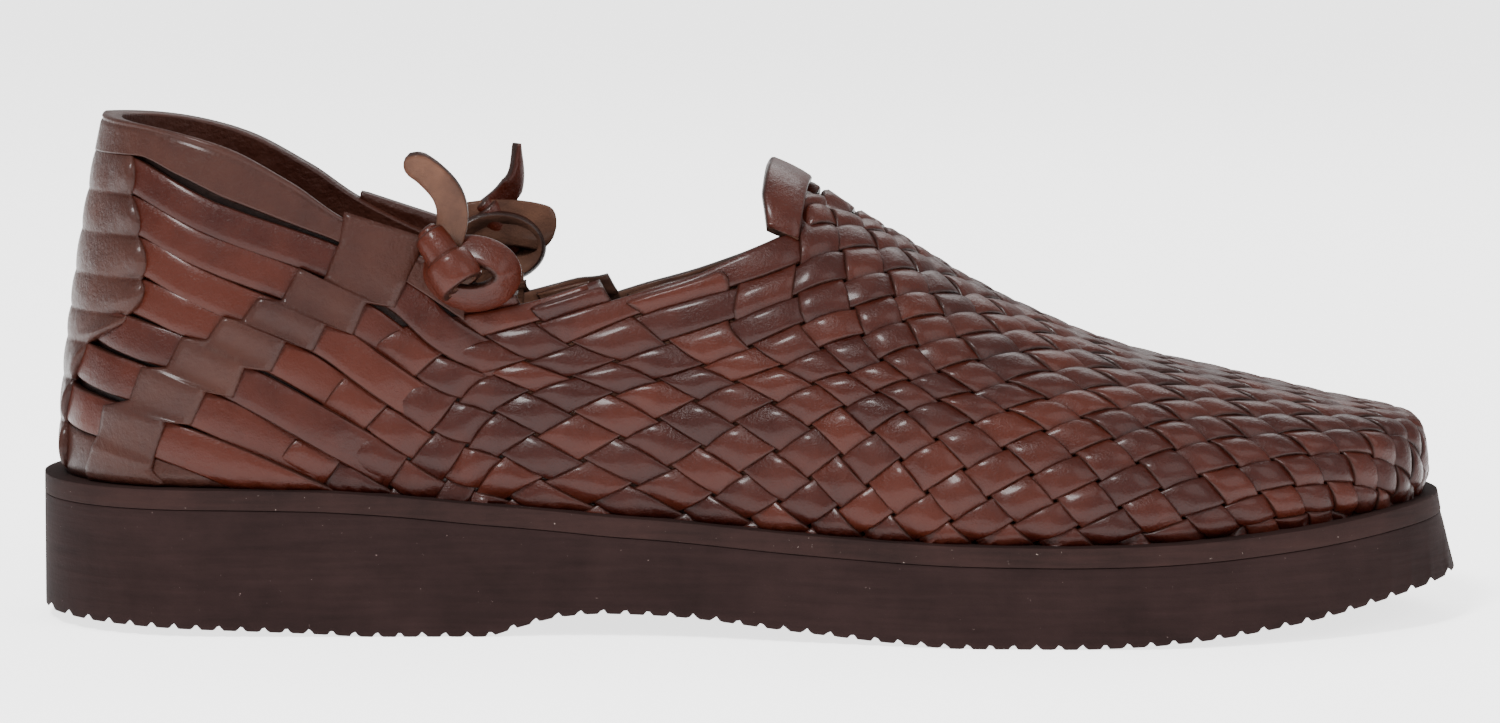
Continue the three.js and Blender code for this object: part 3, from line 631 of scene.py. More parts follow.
@dataclass(frozen=True)
class Leather:
    """Vegetable-tanned cowhide, waxed on the grain side: dark red brown, half gloss, finely creased."""

    name: str
    dark: str
    middle: str
    light: str
    roughness: float = 0.36
    grain_mm: float = 0.7
    crease: float = 0.55

    def build(self) -> bpy.types.Material:
        """Make the material from the piece's strap, edge and flesh attributes; edge marks the cut edges and,
        on the lining's outer face, painted shade.
        """
        material, tree, shader = new_material(self.name)
        place = add_node(tree, "ShaderNodeTexCoord").outputs["Object"]
        strap, edge, flesh = (
            add_node(tree, "ShaderNodeAttribute", {"attribute_name": name}).outputs["Fac"]
            for name in ("strap", "edge", "flesh")
        )
        cloud = add_node(
            tree, "ShaderNodeTexNoise", None, Vector=place, Scale=90.0, Detail=5.0, Roughness=0.6
        )
        patch = add_node(tree, "ShaderNodeTexNoise", None, Vector=place, Scale=28.0, Detail=2.0)
        blend = add_node(
            tree, "ShaderNodeMath", {"operation": "MULTIPLY_ADD"}, i0=cloud.outputs["Fac"], i1=0.45, i2=strap
        )
        tone = add_node(
            tree, "ShaderNodeMath", {"operation": "MULTIPLY_ADD"}, i0=patch.outputs["Fac"], i1=0.5,
            i2=blend.outputs[0],
        )
        shades = ((0.35, srgb(self.dark)), (0.75, srgb(self.middle)), (1.15, srgb(self.light)))
        grain_colour = ramp(tree, tone.outputs[0], shades)
        # Dark raw colour of the cut edges, also put on the lining's outer face as painted shade between the
        # straps
        cut_edge_and_painted_shade = ramp(tree, cloud.outputs["Fac"], ((0.3, srgb("#180a07")), (0.75, srgb("#2c1710"))))
        fuzz = ramp(tree, cloud.outputs["Fac"], ((0.3, srgb("#2b1812")), (0.7, srgb("#573a2c"))))
        edge_and_shade_mix = add_node(tree, "ShaderNodeMix", {"data_type": "RGBA"}, i0=edge, i6=grain_colour, i7=cut_edge_and_painted_shade)
        colour = add_node(tree, "ShaderNodeMix", {"data_type": "RGBA"}, i0=flesh, i6=edge_and_shade_mix.outputs[2], i7=fuzz)
        wear = add_node(
            tree, "ShaderNodeMapRange", None, Value=cloud.outputs["Fac"], From_Min=0.3, From_Max=0.7,
            To_Min=self.roughness - 0.08, To_Max=self.roughness + 0.12,
        )
        rough = add_node(tree, "ShaderNodeMix", None, Factor=flesh, A=wear.outputs[0], B=0.9)
        pores = add_node(
            tree, "ShaderNodeTexVoronoi", {"feature": "DISTANCE_TO_EDGE"}, Vector=place,
            Scale=1000 / self.grain_mm,
        )
        folds = add_node(
            tree, "ShaderNodeTexNoise", None, Vector=place, Scale=420.0, Detail=6.0, Roughness=0.65
        )
        fine = add_node(
            tree, "ShaderNodeBump", None, Strength=0.3, Distance=0.0003, Height=pores.outputs["Distance"]
        )
        bump = add_node(
            tree, "ShaderNodeBump", None, Strength=self.crease, Distance=0.0006, Height=folds.outputs["Fac"],
            Normal=fine.outputs["Normal"],
        )
        feed(
            tree, shader, Base_Color=colour.outputs[2], Roughness=rough.outputs[0], IOR=1.5,
            Specular_IOR_Level=0.16, Coat_Weight=0.13, Coat_Roughness=0.17, Normal=bump.outputs["Normal"],
        )
        return material


@dataclass(frozen=True)
class Rubber:
    """Ground expanded rubber: very dark brown, dull, with fine level grinding marks and pale specks."""

    name: str
    dark: str
    light: str
    speck: str = "#8a7672"
    speck_share: float = 0.72

    def build(self) -> bpy.types.Material:
        """Make the material."""
        material, tree, shader = new_material(self.name)
        place = add_node(tree, "ShaderNodeTexCoord").outputs["Object"]
        level = add_node(tree, "ShaderNodeMapping", None, Vector=place, Scale=(60.0, 60.0, 900.0))
        marks = add_node(tree, "ShaderNodeTexNoise", None, Vector=level.outputs[0], Scale=1.0, Detail=4.0)
        cloud = add_node(
            tree, "ShaderNodeTexNoise", None, Vector=place, Scale=55.0, Detail=6.0, Roughness=0.65
        )
        grit = add_node(
            tree, "ShaderNodeTexNoise", None, Vector=place, Scale=900.0, Detail=3.0, Roughness=0.8
        )
        tone = add_node(
            tree, "ShaderNodeMath", {"operation": "MULTIPLY_ADD"}, i0=marks.outputs["Fac"], i1=0.5,
            i2=cloud.outputs["Fac"],
        )
        body = ramp(tree, tone.outputs[0], ((0.45, srgb(self.dark)), (0.95, srgb(self.light))))
        black, white = (0, 0, 0, 1), (1, 1, 1, 1)
        limits = ((self.speck_share, black), (self.speck_share + 0.06, white))
        spots = ramp(tree, grit.outputs["Fac"], limits)
        colour = add_node(
            tree, "ShaderNodeMix", {"data_type": "RGBA"}, i0=spots, i6=body, i7=srgb(self.speck)
        )
        bump = add_node(
            tree, "ShaderNodeBump", None, Strength=0.35, Distance=0.0004, Height=marks.outputs["Fac"]
        )
        pitted = add_node(
            tree, "ShaderNodeBump", None, Strength=0.3, Distance=0.0003, Height=grit.outputs["Fac"],
            Normal=bump.outputs["Normal"],
        )
        feed(
            tree, shader, Base_Color=colour.outputs[2], Roughness=0.78, IOR=1.45, Specular_IOR_Level=0.1,
            Normal=pitted.outputs["Normal"],
        )
        return material


@dataclass(frozen=True)
class Finishes:
    """All finishes of the sandal."""

    strap: Leather = Leather("waxed_strap_leather", "#170301", "#2a0a04", "#3c150a")
    counter: Leather = Leather("pebbled_counter_leather", "#170603", "#280f09", "#381b12", 0.42, 1.1, 0.9)
    inside: Leather = Leather("natural_insole_leather", "#2f1c15", "#472e24", "#5a4032", 0.7, 0.9, 0.3)
    wedge: Rubber = Rubber("ground_wedge_rubber", "#160c0b", "#241716")
    rim: Rubber = Rubber("ground_midsole_rubber", "#180f0e", "#2a1b19", "#a09088", 0.7)


def new_object(name: str, data: bpy.types.ID) -> bpy.types.Object:
    """Object with its data, linked to the scene."""
    made = bpy.data.objects.new(name, data)
    bpy.context.scene.collection.objects.link(made)
    return made


def mesh_piece(
    name: str, points: np.ndarray, faces: Sequence[Sequence[int]], values: dict[str, np.ndarray] | None = None
) -> bpy.types.Object:
    """Object with a mesh in metres and its point attributes.

    Args:
        name: Name of the piece.
        points: Points in millimetres.
        faces: Corners of each face.
        values: Point attributes, floats or vectors.

    Returns:
        The object, linked to the scene.
    """
    mesh = bpy.data.meshes.new(name)
    mesh.from_pydata((np.asarray(points) * MM).tolist(), [], [list(f) for f in faces])
    for key, array in (values or {}).items():
        vector = array.ndim == 2
        layer = mesh.attributes.new(key, "FLOAT_VECTOR" if vector else "FLOAT", "POINT")
        layer.data.foreach_set("vector" if vector else "value", array.astype(np.float32).ravel())
    mesh.polygons.foreach_set("use_smooth", [True] * len(mesh.polygons))
    mesh.update()
    return new_object(name, mesh)


def tube_faces(rings: int, count: int, start: int, closed: bool = False) -> list[tuple[int, ...]]:
    """Faces of a tube, its rings in order, with capped or joined ends.

    Args:
        rings: Number of rings.
        count: Points in a ring.
        start: Number of the first point.
        closed: Whether the last ring joins the first one, instead of two caps.

    Returns:
        Corners of each face.
    """
    faces: list[tuple[int, ...]] = []
    for k in range(rings - 1):
        for n in range(count):
            a, b = start + k * count + n, start + k * count + (n + 1) % count
            faces.append((a, a + count, b + count, b))
    last = start + (rings - 1) * count
    if closed:
        for n in range(count):
            m = (n + 1) % count
            faces.append((last + n, start + n, start + m, last + m))
        return faces
    faces.append(tuple(start + n for n in range(count)))
    faces.append(tuple(last + n for n in reversed(range(count))))
    return faces


def faces_out(piece: bpy.types.Object) -> bpy.types.Object:
    """Turn the faces of a closed piece outwards."""
    data = bmesh.new()
    data.from_mesh(piece.data)
    bmesh.ops.recalc_face_normals(data, faces=data.faces)
    data.to_mesh(piece.data)
    data.free()
    return piece


# Section of a strap: place across it, from -1 to 1, and depth below its face, from 0 to 1
STRAP_SECTION = np.array((
    (-1.0, 0.4), (-0.97, 0.14), (-0.88, 0.02), (-0.5, 0.0), (0.0, 0.0), (0.5, 0.0), (0.88, 0.02),
    (0.97, 0.14), (1.0, 0.4), (1.0, 0.85), (0.94, 1.0), (0.4, 1.0), (-0.4, 1.0), (-0.94, 1.0), (-1.0, 0.85),
))
ACROSS, DEPTH = STRAP_SECTION[:, 0], STRAP_SECTION[:, 1]
CUT_EDGE = np.clip((np.abs(ACROSS) - 0.93) / 0.06, 0, 1) * (DEPTH > 0.05)
UNDERSIDE = (DEPTH > 0.95).astype(float)
TOP_FACE = DEPTH < 0.2


@dataclass
class Ribbons:
    """Collects straps as closed tubes over a chart of the last."""

    chart: Chart
    thickness: float = STRAP_THICKNESS
    crown: float = 0.35
    points: list[np.ndarray] = field(default_factory=list)
    faces: list[tuple[int, ...]] = field(default_factory=list)
    values: dict[str, list[np.ndarray]] = field(default_factory=dict)
    total: int = 0

    def add(
        self, path: np.ndarray, half: np.ndarray, lift: np.ndarray, tone: float,
        base: float | np.ndarray = 0.0,
    ) -> None:
        """Add one strap.

        Args:
            path: Places in the chart along the strap's middle.
            half: Half width in chart units at each place.
            lift: Rise over or under its neighbours at each place, from -1 to 1.
            tone: Shade of this strap, 0 to 1.
            base: Height of the strap's face over the last, in millimetres.
        """
        tangent = np.gradient(path, axis=0)
        tangent /= np.linalg.norm(tangent, axis=1, keepdims=True)
        across = np.stack([-tangent[:, 1], tangent[:, 0]], axis=1)
        places = path[:, None, :] + across[:, None, :] * (half[:, None, None] * ACROSS[None, :, None])
        normals = self.chart.normals(places)
        height = np.broadcast_to(base, len(path))[:, None] + self._relief()[None, :]
        points = self.chart.at(places) + normals * height[..., None]
        self._keep(points, normals, lift, tone)

    def add_free(
        self, middle: np.ndarray, face: np.ndarray, half: np.ndarray, tone: float, shown: float = 0.0,
        closed: bool = False,
    ) -> None:
        """Add a strap that runs freely in space.

        Args:
            middle: Points along the middle of its face, in millimetres.
            face: Direction out of its face at each point.
            half: Half width at each point, in millimetres.
            tone: Shade of this strap, 0 to 1.
            shown: 1 when the flesh side is its face, otherwise 0.
            closed: Whether its ends meet.
        """
        tangent = np.gradient(middle, axis=0)
        if closed:
            tangent[0] = tangent[-1] = middle[1] - middle[-2]
        across = np.cross(tangent, face)
        across /= np.linalg.norm(across, axis=1, keepdims=True)
        out = np.cross(across, tangent)
        out /= np.linalg.norm(out, axis=1, keepdims=True)
        out *= np.sign(np.sum(out * face, axis=1, keepdims=True))
        points = middle[:, None] + across[:, None] * (half[:, None] * ACROSS)[..., None]
        points = points + out[:, None] * self._relief()[None, :, None]
        normals = np.repeat(out[:, None], len(ACROSS), axis=1)
        self._keep(points, normals, np.zeros(len(middle)), tone, shown, closed)

    def _relief(self) -> np.ndarray:
        """Height of each point of the section over the strap's face, which is arched across."""
        return self.crown * (1 - ACROSS**2) * (DEPTH < 0.9) - DEPTH * self.thickness

    def _keep(
        self, points: np.ndarray, outs: np.ndarray, lift: np.ndarray, tone: float, shown: float = 0.0,
        closed: bool = False,
    ) -> None:
        """Store one strap, its faces and the values of its points.

        Args:
            points: Points of each ring.
            outs: Direction out of the face at each point.
            lift: Rise of each ring.
            tone: Shade of this strap, 0 to 1.
            shown: 1 when the flesh side is its face, otherwise 0.
            closed: Whether its ends meet.
        """
        rings, count = points.shape[:2]
        self.points.append(points.reshape(-1, 3))
        values = {
            "out": outs.reshape(-1, 3),
            "lift": np.repeat(lift, count),
            "strap": np.full(rings * count, tone),
            "edge": np.tile(CUT_EDGE, rings),
            "flesh": np.tile(np.maximum(UNDERSIDE, shown * TOP_FACE), rings),
        }
        for key, value in values.items():
            self.values.setdefault(key, []).append(value)
        self.faces += tube_faces(rings, count, self.total, closed)
        self.total += rings * count

    def build(self, name: str) -> bpy.types.Object:
        """Join the straps in one object, with the values that its finish and the raising read."""
        values = {key: np.concatenate(parts) for key, parts in self.values.items()}
        return mesh_piece(name, np.concatenate(self.points), self.faces, values)


@dataclass
class RaiseTree:
    """Geometry Nodes tree that raises straps over and under each other along their outward normals."""

    name: str = "raise_straps"

    def build(self) -> bpy.types.NodeTree:
        """Make the tree, with the rise and the material as named inputs."""
        tree = bpy.data.node_groups.new(self.name, "GeometryNodeTree")
        tree.interface.new_socket("Geometry", in_out="INPUT", socket_type="NodeSocketGeometry")
        tree.interface.new_socket("Strap rise", in_out="INPUT", socket_type="NodeSocketFloat")
        tree.interface.new_socket("Finish", in_out="INPUT", socket_type="NodeSocketMaterial")
        tree.interface.new_socket("Geometry", in_out="OUTPUT", socket_type="NodeSocketGeometry")
        entry = add_node(tree, "NodeGroupInput")
        lift = add_node(tree, "GeometryNodeInputNamedAttribute", {"data_type": "FLOAT"}, Name="lift")
        out = add_node(tree, "GeometryNodeInputNamedAttribute", {"data_type": "FLOAT_VECTOR"}, Name="out")
        rise = add_node(
            tree, "ShaderNodeMath", {"operation": "MULTIPLY"}, i0=lift.outputs["Attribute"],
            i1=entry.outputs["Strap rise"],
        )
        move = add_node(
            tree, "ShaderNodeVectorMath", {"operation": "SCALE"}, Vector=out.outputs["Attribute"],
            Scale=rise.outputs[0],
        )
        placed = add_node(
            tree, "GeometryNodeSetPosition", None, Geometry=entry.outputs["Geometry"], Offset=move.outputs[0]
        )
        real = add_node(tree, "GeometryNodeRealizeInstances", None, Geometry=placed.outputs[0])
        dressed = add_node(
            tree, "GeometryNodeSetMaterial", None, Geometry=real.outputs[0], Material=entry.outputs["Finish"]
        )
        add_node(tree, "NodeGroupOutput", None, Geometry=dressed.outputs[0])
        return tree


def bake(piece: bpy.types.Object) -> None:
    """Turn the result of a piece's modifiers into its plain mesh."""
    graph = bpy.context.evaluated_depsgraph_get()
    made = bpy.data.meshes.new_from_object(piece.evaluated_get(graph))
    old = piece.data
    piece.modifiers.clear()
    piece.data = made
    bpy.data.meshes.remove(old)


def seat_and_clean(piece: bpy.types.Object) -> None:
    """Keep a piece's points on the sole's top face and merge what that folds together."""
    data = bmesh.new()
    data.from_mesh(piece.data)
    for vert in data.verts:
        floor = (sole_top(vert.co.x / MM) - CLEARANCE / 2) * MM
        if vert.co.z < floor:
            vert.co.z = floor
    bmesh.ops.remove_doubles(data, verts=data.verts, dist=0.00002)
    bmesh.ops.dissolve_degenerate(data, edges=data.edges, dist=0.00001)
    data.to_mesh(piece.data)
    data.free()
    piece.data.polygons.foreach_set("use_smooth", [True] * len(piece.data.polygons))


def enlist(
    piece: bpy.types.Object, node: str, finish: bpy.types.Material | None = None
) -> bpy.types.Object:
    """Dress a piece, let it ride on the body, and hide the CAD node that it stands for.

    Args:
        piece: The piece.
        node: CAD node that it replaces.
        finish: Its material, unless it has one.

    Returns:
        The piece.
    """
    if finish:
        piece.data.materials.append(finish)
    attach(piece, "root")
    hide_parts(node)
    LOG.info("%s: %d faces", piece.name, len(piece.data.polygons))
    return piece


class Family(Enum):
    """The two families of straps; the value is the side on which one runs down to the toe."""

    FORWARD = 1
    BACKWARD = -1


@dataclass
class Run:
    """One strap of the weave: its crossings in order, and how it ends on either side."""

    family: Family
    nodes: list[tuple[float, float, float]]


@dataclass
class Weave:
    """The woven wall: strands that cross, wrap over the collar and throat, and end at the sole."""

    chart: Chart
    finish: bpy.types.Material
    first_column: int = -8
    last_column: int = 36
    half: float = 0.655
    rise_mm: float = 0.92
    samples: int = 10
    seed: int = 11
    wrap: float = -3.2
    base: float = -0.9
    sharpness: float = 1.3
    over_edge: float = 0.5
    under_edge: float = 0.3
    past_sole: float = 0.35

    @staticmethod
    def lift_at(family: Family, column: int) -> float:
        """Whether a strand lies over (1) or under (-1) at a crossing."""
        return 1.0 if (column % 2 == 1) == (family is Family.FORWARD) else -1.0

    @staticmethod
    def above_sole(column: float, row: float) -> bool:
        """Whether a crossing lies above the foot edge or just below it."""
        point = weave_point(column, row)
        return point[2] > sole_top(point[0]) - BELOW_EDGE

    @staticmethod
    def joint_column(strand: int, side: int) -> int:
        """Column of the crossing that hides where a long heel strap turns into a strand.

        Args:
            strand: Number of the strand.
            side: OUTER or INNER.

        Returns:
            The first column where a rising strand lies over this one.
        """
        column = (FIRST_RISER + strand) // 2
        over = 0 if side == OUTER else 1
        return column if column % 2 == over else column + 1

    @staticmethod
    def open_at(column: float, level: float) -> bool:
        """Whether a crossing lies in the shoe's opening."""
        over_throat = column >= THROAT_COLUMN and level <= THROAT_ROW
        return column < OPENING_COLUMN and level < OPENING_ROW and not over_throat

    def covered(self, family: Family, column: int, row: int) -> bool:
        """Whether a strand is present at a crossing, apart from the sole's edge.

        Args:
            family: Family of the strand.
            column: Crossing counted along the shoe.
            row: Crossing counted down from the crown, positive on the outer side.

        Returns:
            Whether it is there.
        """
        level = abs(row)
        if self.open_at(column, level):
            return False
        if row * family.value < 0:
            return column + level >= FIRST_RISER
        strand = column - level
        if strand > FIRST_HEEL_STRAND:
            return True
        joint = self.joint_column(strand, OUTER if row > 0 else INNER)
        return strand >= LAST_HEEL_STRAND and column >= joint

    def strands(self) -> list[Run]:
        """All straps of the weave."""
        found = []
        for family in Family:
            for strand in STRANDS:
                run: list[tuple[float, float, float]] = []
                for column in range(self.first_column, self.last_column + 1):
                    row = family.value * (column - strand)
                    here = abs(row) < ROW_LIMIT and self.covered(family, column, row)
                    if here and self.above_sole(column, row):
                        run.append((column, row, self.lift_at(family, column)))
                    elif run:
                        found.append(Run(family, self.finished(family, run)))
                        run = []
        return found

    def finished(self, family: Family, run: list) -> list[tuple[float, float, float]]:
        """Add the ends of a strap: at the sole, over the opening's edge or at its neighbour.

        Args:
            family: Family of the strap.
            run: Its crossings in order.

        Returns:
            The crossings with an end on either side.
        """
        nodes = list(run)
        for end, step in ((0, -1), (-1, 1)):
            column, row, lift = run[end]
            beyond = (column + step, row + step * family.value)
            if self.open_at(beyond[0], abs(beyond[1])):
                reach = self.over_edge if lift > 0 else self.under_edge
                fold = self.wrap if lift > 0 else lift
                tip = (column + step * reach, row + step * reach * family.value, fold)
            elif self.covered(family, int(beyond[0]), int(beyond[1])):
                tip = (*beyond, self.lift_at(family, int(beyond[0])))
            else:
                reach = self.past_sole
                tip = (column + step * reach, row + step * reach * family.value, lift)
            nodes.insert(0 if end == 0 else len(nodes), tip)
        return nodes

    def sample(self, nodes: list[tuple[float, float, float]]) -> tuple[np.ndarray, np.ndarray]:
        """Places and lifts along a strap."""
        spots = np.array(nodes, dtype=float)
        columns = spots[:, 0]
        places = [columns[0]]
        for a, b in zip(columns[:-1], columns[1:]):
            count = max(3, round((b - a) * self.samples))
            places += list(a + (b - a) * np.arange(1, count + 1) / count)
        steps = np.array(places)
        rows = np.interp(steps, columns, spots[:, 1])
        k = np.clip(np.searchsorted(columns, steps, side="right") - 1, 0, len(columns) - 2)
        t = (steps - columns[k]) / (columns[k + 1] - columns[k])
        wave = 0.5 - 0.5 * np.cos(np.pi * t)
        sharp = np.clip((wave - 0.5) * self.sharpness + 0.5, 0, 1)
        lift = spots[k, 2] + (spots[k + 1, 2] - spots[k, 2]) * (0.5 * wave + 0.5 * sharp)
        return np.stack([steps, rows], axis=1), lift

    def build(self) -> list[bpy.types.Object]:
        """Make the straps of both families, raised by the Geometry Nodes tree."""
        rng = np.random.default_rng(self.seed)
        groups = {family: Ribbons(self.chart, crown=0.28) for family in Family}
        for run in self.strands():
            path, lift = self.sample(run.nodes)
            half = np.full(len(path), self.half)
            groups[run.family].add(path, half, lift, float(rng.uniform(*STRAP_TONES)), base=self.base)
        tree = RaiseTree().build()
        keys = {item.name: item.identifier for item in tree.interface.items_tree if item.in_out == "INPUT"}
        pieces = []
        for family, ribbons in groups.items():
            piece = ribbons.build(f"woven_straps_{family.name.lower()}")
            raise_mod = piece.modifiers.new("raise", "NODES")
            raise_mod.node_group = tree
            raise_mod[keys["Strap rise"]] = self.rise_mm * MM
            raise_mod[keys["Finish"]] = self.finish
            bake(piece)
            seat_and_clean(piece)
            pieces.append(enlist(piece, "upper"))
        return pieces


# Heel in lengths round the heel from the middle of the back and heights, both in millimetres. Long
# straps, top to bottom: start at the back band, way into the arm and way out of it
HEEL_STRAPS = (
    ((28.0, 93.2), (77.0, 76.0), (91.0, 69.2)),
    ((31.2, 85.0), (68.7, 71.5), (82.8, 64.4)),
    ((34.9, 76.6), (60.5, 66.5), (74.7, 61.2)),
    ((37.1, 67.9), (53.3, 62.6), (66.4, 56.9)),
    ((27.4, 61.8), (44.3, 57.7), (58.3, 51.6)),
    ((17.8, 54.8), (35.4, 51.0), (49.9, 46.4)),
    ((13.2, 45.5), (26.8, 43.2), (41.5, 39.9)),
)
# Stepped edges of the arm from the collar down: back edge, front edge
ARM_EDGES = (
    ((79.5, 86.0), (96.5, 80.5)), ((78.6, 79.7), (92.2, 71.8)), ((75.4, 72.3), (89.8, 66.6)),
    ((70.5, 74.7), (84.1, 67.6)), ((66.9, 68.3), (81.5, 61.2)), ((62.2, 68.7), (76.0, 63.2)),
    ((58.8, 64.3), (73.4, 57.9)), ((55.1, 64.9), (67.9, 59.9)), ((51.4, 60.3), (64.9, 53.8)),
    ((46.1, 60.8), (59.4, 54.6)), ((42.4, 54.6), (57.2, 48.6)), ((36.9, 54.4), (51.5, 49.8)),
    ((33.8, 47.6), (48.3, 43.0)), ((27.6, 46.1), (42.8, 43.5)), ((25.9, 40.3), (40.1, 36.3)),
    ((23.5, 36.0), (39.5, 33.5)), ((21.0, 30.8), (42.0, 30.8)),
)
BACK_EDGE = table(
    "at along",
    (31.0, 12.5), (41.0, 12.0), (50.2, 15.0), (58.3, 21.0), (64.7, 33.0), (72.1, 36.0), (80.8, 34.0),
    (89.0, 30.5), (97.5, 28.5),
)
BACK_SLITS = (31.0, 41.0, 50.2, 58.3, 64.7, 72.1, 80.8, 89.0, 97.5)
COLLAR_BAND = table(
    "at low",
    (0.0, 97.0), (29.1, 97.0), (43.5, 93.2), (58.7, 87.6), (70.9, 82.9), (78.0, 80.2), (92.0, 72.0),
    (104.0, 64.0),
)
SKIRT_TOP = table(
    "at top",
    (0.0, 41.0), (13.0, 40.6), (26.0, 39.0), (40.0, 35.8), (57.0, 33.9), (68.0, 30.6),
)


@dataclass
class HeelCounter:
    """The leather heel: lining, collar band, back band, stepped arms, skirt and long straps."""

    chart: Chart
    strap_finish: bpy.types.Material
    counter_finish: bpy.types.Material
    strap_width: float = 6.9
    wider_each: float = 0.22
    wider_ahead: float = 0.5
    front: float = 60.0
    lining_sink: float = 2.1
    collar_reach: float = 104.0
    collar_least: float = 5.0
    skirt_reach: float = 68.0
    path_points: int = 70

    def sheet(
        self, name: str, place: Callable[[float, float], tuple[float, float]],
        rise: Callable[[float, float], float], size: tuple[int, int], depth: float,
    ) -> bpy.types.Object:
        """Sheet of leather on the heel with its own relief.

        Args:
            name: Name of the piece.
            place: Length round the heel and height for shares across and up.
            rise: Height of the face over the last.
            size: Steps across and up.
            depth: Depth of the back face under the last.

        Returns:
            The object.
        """
        across, up = size
        shares = [[(i / across, j / up) for j in range(up + 1)] for i in range(across + 1)]
        places = np.array([[place(u, v) for u, v in row] for row in shares])
        heights = np.array([[rise(u, v) for u, v in row] for row in shares])
        points, normals = self.chart.at(places), self.chart.normals(places)
        layers = [points + normals * heights[..., None], points - normals * depth]
        return closed_shell(name, layers, COUNTER_TONES)

    def band(
        self, name: str, reach: float, low: Callable[[float], float], high: Callable[[float], float],
        rise: Callable[[float, float], float], size: tuple[int, int], depth: float,
    ) -> bpy.types.Object:
        """Sheet round both sides between two heights.

        Args:
            name: Name of the piece.
            reach: Length round the heel on each side.
            low: Height of its lower edge at a length round the heel.
            high: Height of its upper edge.
            rise: Height of the face over the last.
            size: Steps across and up.
            depth: Depth of the back face under the last.

        Returns:
            The object.
        """

        def place(u: float, v: float) -> tuple[float, float]:
            """Place on the band."""
            along = mix(-reach, reach, u)
            return along, mix(low(along), high(along), v)

        return self.sheet(name, place, rise, size, depth)

    def lining(self) -> bpy.types.Object:
        """Inner wall of the counter, behind the straps; its outer face is painted dark as the shade seen in
        the gaps between them.
        """
        piece = self.band(
            "counter_lining", HEEL_ARC + self.front, self.foot, lambda along: collar_height(along) - 1.0,
            lambda u, v: -self.lining_sink, (150, 20), WALL - 0.2,
        )
        half = len(piece.data.vertices) // 2
        # Outer face: the dark edge colour as painted shade in the gaps between the straps; inner face: the
        # flesh colour
        piece.data.attributes["edge"].data.foreach_set("value", [1.0] * half + [0.0] * half)
        piece.data.attributes["flesh"].data.foreach_set("value", [0.0] * half + [1.0] * half)
        return piece

    def back_band(self) -> bpy.types.Object:
        """Band over the middle of the back, slit so that the long straps pass below it and bulge it."""

        def slit(height: float) -> float:
            """Bulge between two slits, 0 at the slits and 1 midway."""
            heights = BACK_SLITS
            k = max(0, min(len(heights) - 2, sum(height > h for h in heights) - 1))
            t = (height - heights[k]) / (heights[k + 1] - heights[k])
            return max(0.0, math.sin(math.pi * min(1.0, max(0.0, t)))) ** 0.6

        def place(u: float, v: float) -> tuple[float, float]:
            """Place on the band."""
            height = mix(BACK_SLITS[0], BACK_SLITS[-1], v)
            along = follow(BACK_EDGE, "along", height) - 1.8 + 2.4 * slit(height)
            return mix(-along, along, u), height

        def rise(u: float, v: float) -> float:
            """Height of the band's face."""
            edge = smooth(1 - (0.5 - abs(u - 0.5)) * 5.5)
            height = mix(BACK_SLITS[0], BACK_SLITS[-1], v)
            rim = smooth((0.5 - abs(u - 0.5)) * 36)
            return 0.2 + 0.45 * slit(height) + edge * (1.9 * slit(height) - 0.8) * mix(0.3, 1.0, rim)

        return self.sheet("back_band", place, rise, (96, 150), STRAP_THICKNESS)

    def collar(self) -> bpy.types.Object:
        """Band along the collar on both sides."""

        def low(along: float) -> float:
            """Height of the band's lower edge."""
            return min(follow(COLLAR_BAND, "low", abs(along)), collar_height(along) - self.collar_least)

        def rise(_: float, v: float) -> float:
            """Height of the face, with a shallow groove along the top."""
            return 0.55 - 0.35 * math.exp(-(((v - 0.84) / 0.05) ** 2)) - 0.5 * smooth((v - 0.93) * 14)

        size = (200, 22)
        return self.band("collar_band", self.collar_reach, low, collar_height, rise, size, WALL - 0.1)

    def arm(self, side: int) -> bpy.types.Object:
        """Diagonal arm with stepped edges over the long straps."""
        count = len(ARM_EDGES) - 1

        def place(u: float, v: float) -> tuple[float, float]:
            """Place on the arm."""
            k = min(int(v * count), count - 1)
            t = v * count - k
            (a, b), (c, d) = ARM_EDGES[k], ARM_EDGES[k + 1]
            back = (mix(a[0], c[0], t), mix(a[1], c[1], t))
            front = (mix(b[0], d[0], t), mix(b[1], d[1], t))
            return side * mix(back[0], front[0], u), mix(back[1], front[1], u)

        def rise(u: float, v: float) -> float:
            """Height of the face, swollen over each strap."""
            step = math.sin(math.pi * (v * count - 0.5)) if 0.06 < v < 0.92 else 0.0
            rim = smooth(min(u, 1 - u) * 14)
            return 0.55 + 0.28 * step + 0.5 * rim

        name = "outer_arm" if side == OUTER else "inner_arm"
        return self.sheet(name, place, rise, (26, count * 6), 1.2)

    @staticmethod
    def foot(along: float) -> float:
        """Height of the upper's foot at a length round the heel."""
        return round_section(along).foot

    def skirt(self) -> bpy.types.Object:
        """Smooth foot of the counter on the sole."""
        return self.band(
            "counter_skirt", self.skirt_reach, self.foot, lambda along: follow(SKIRT_TOP, "top", abs(along)),
            lambda u, v: 0.3 - 0.9 * v, (130, 6), STRAP_THICKNESS,
        )

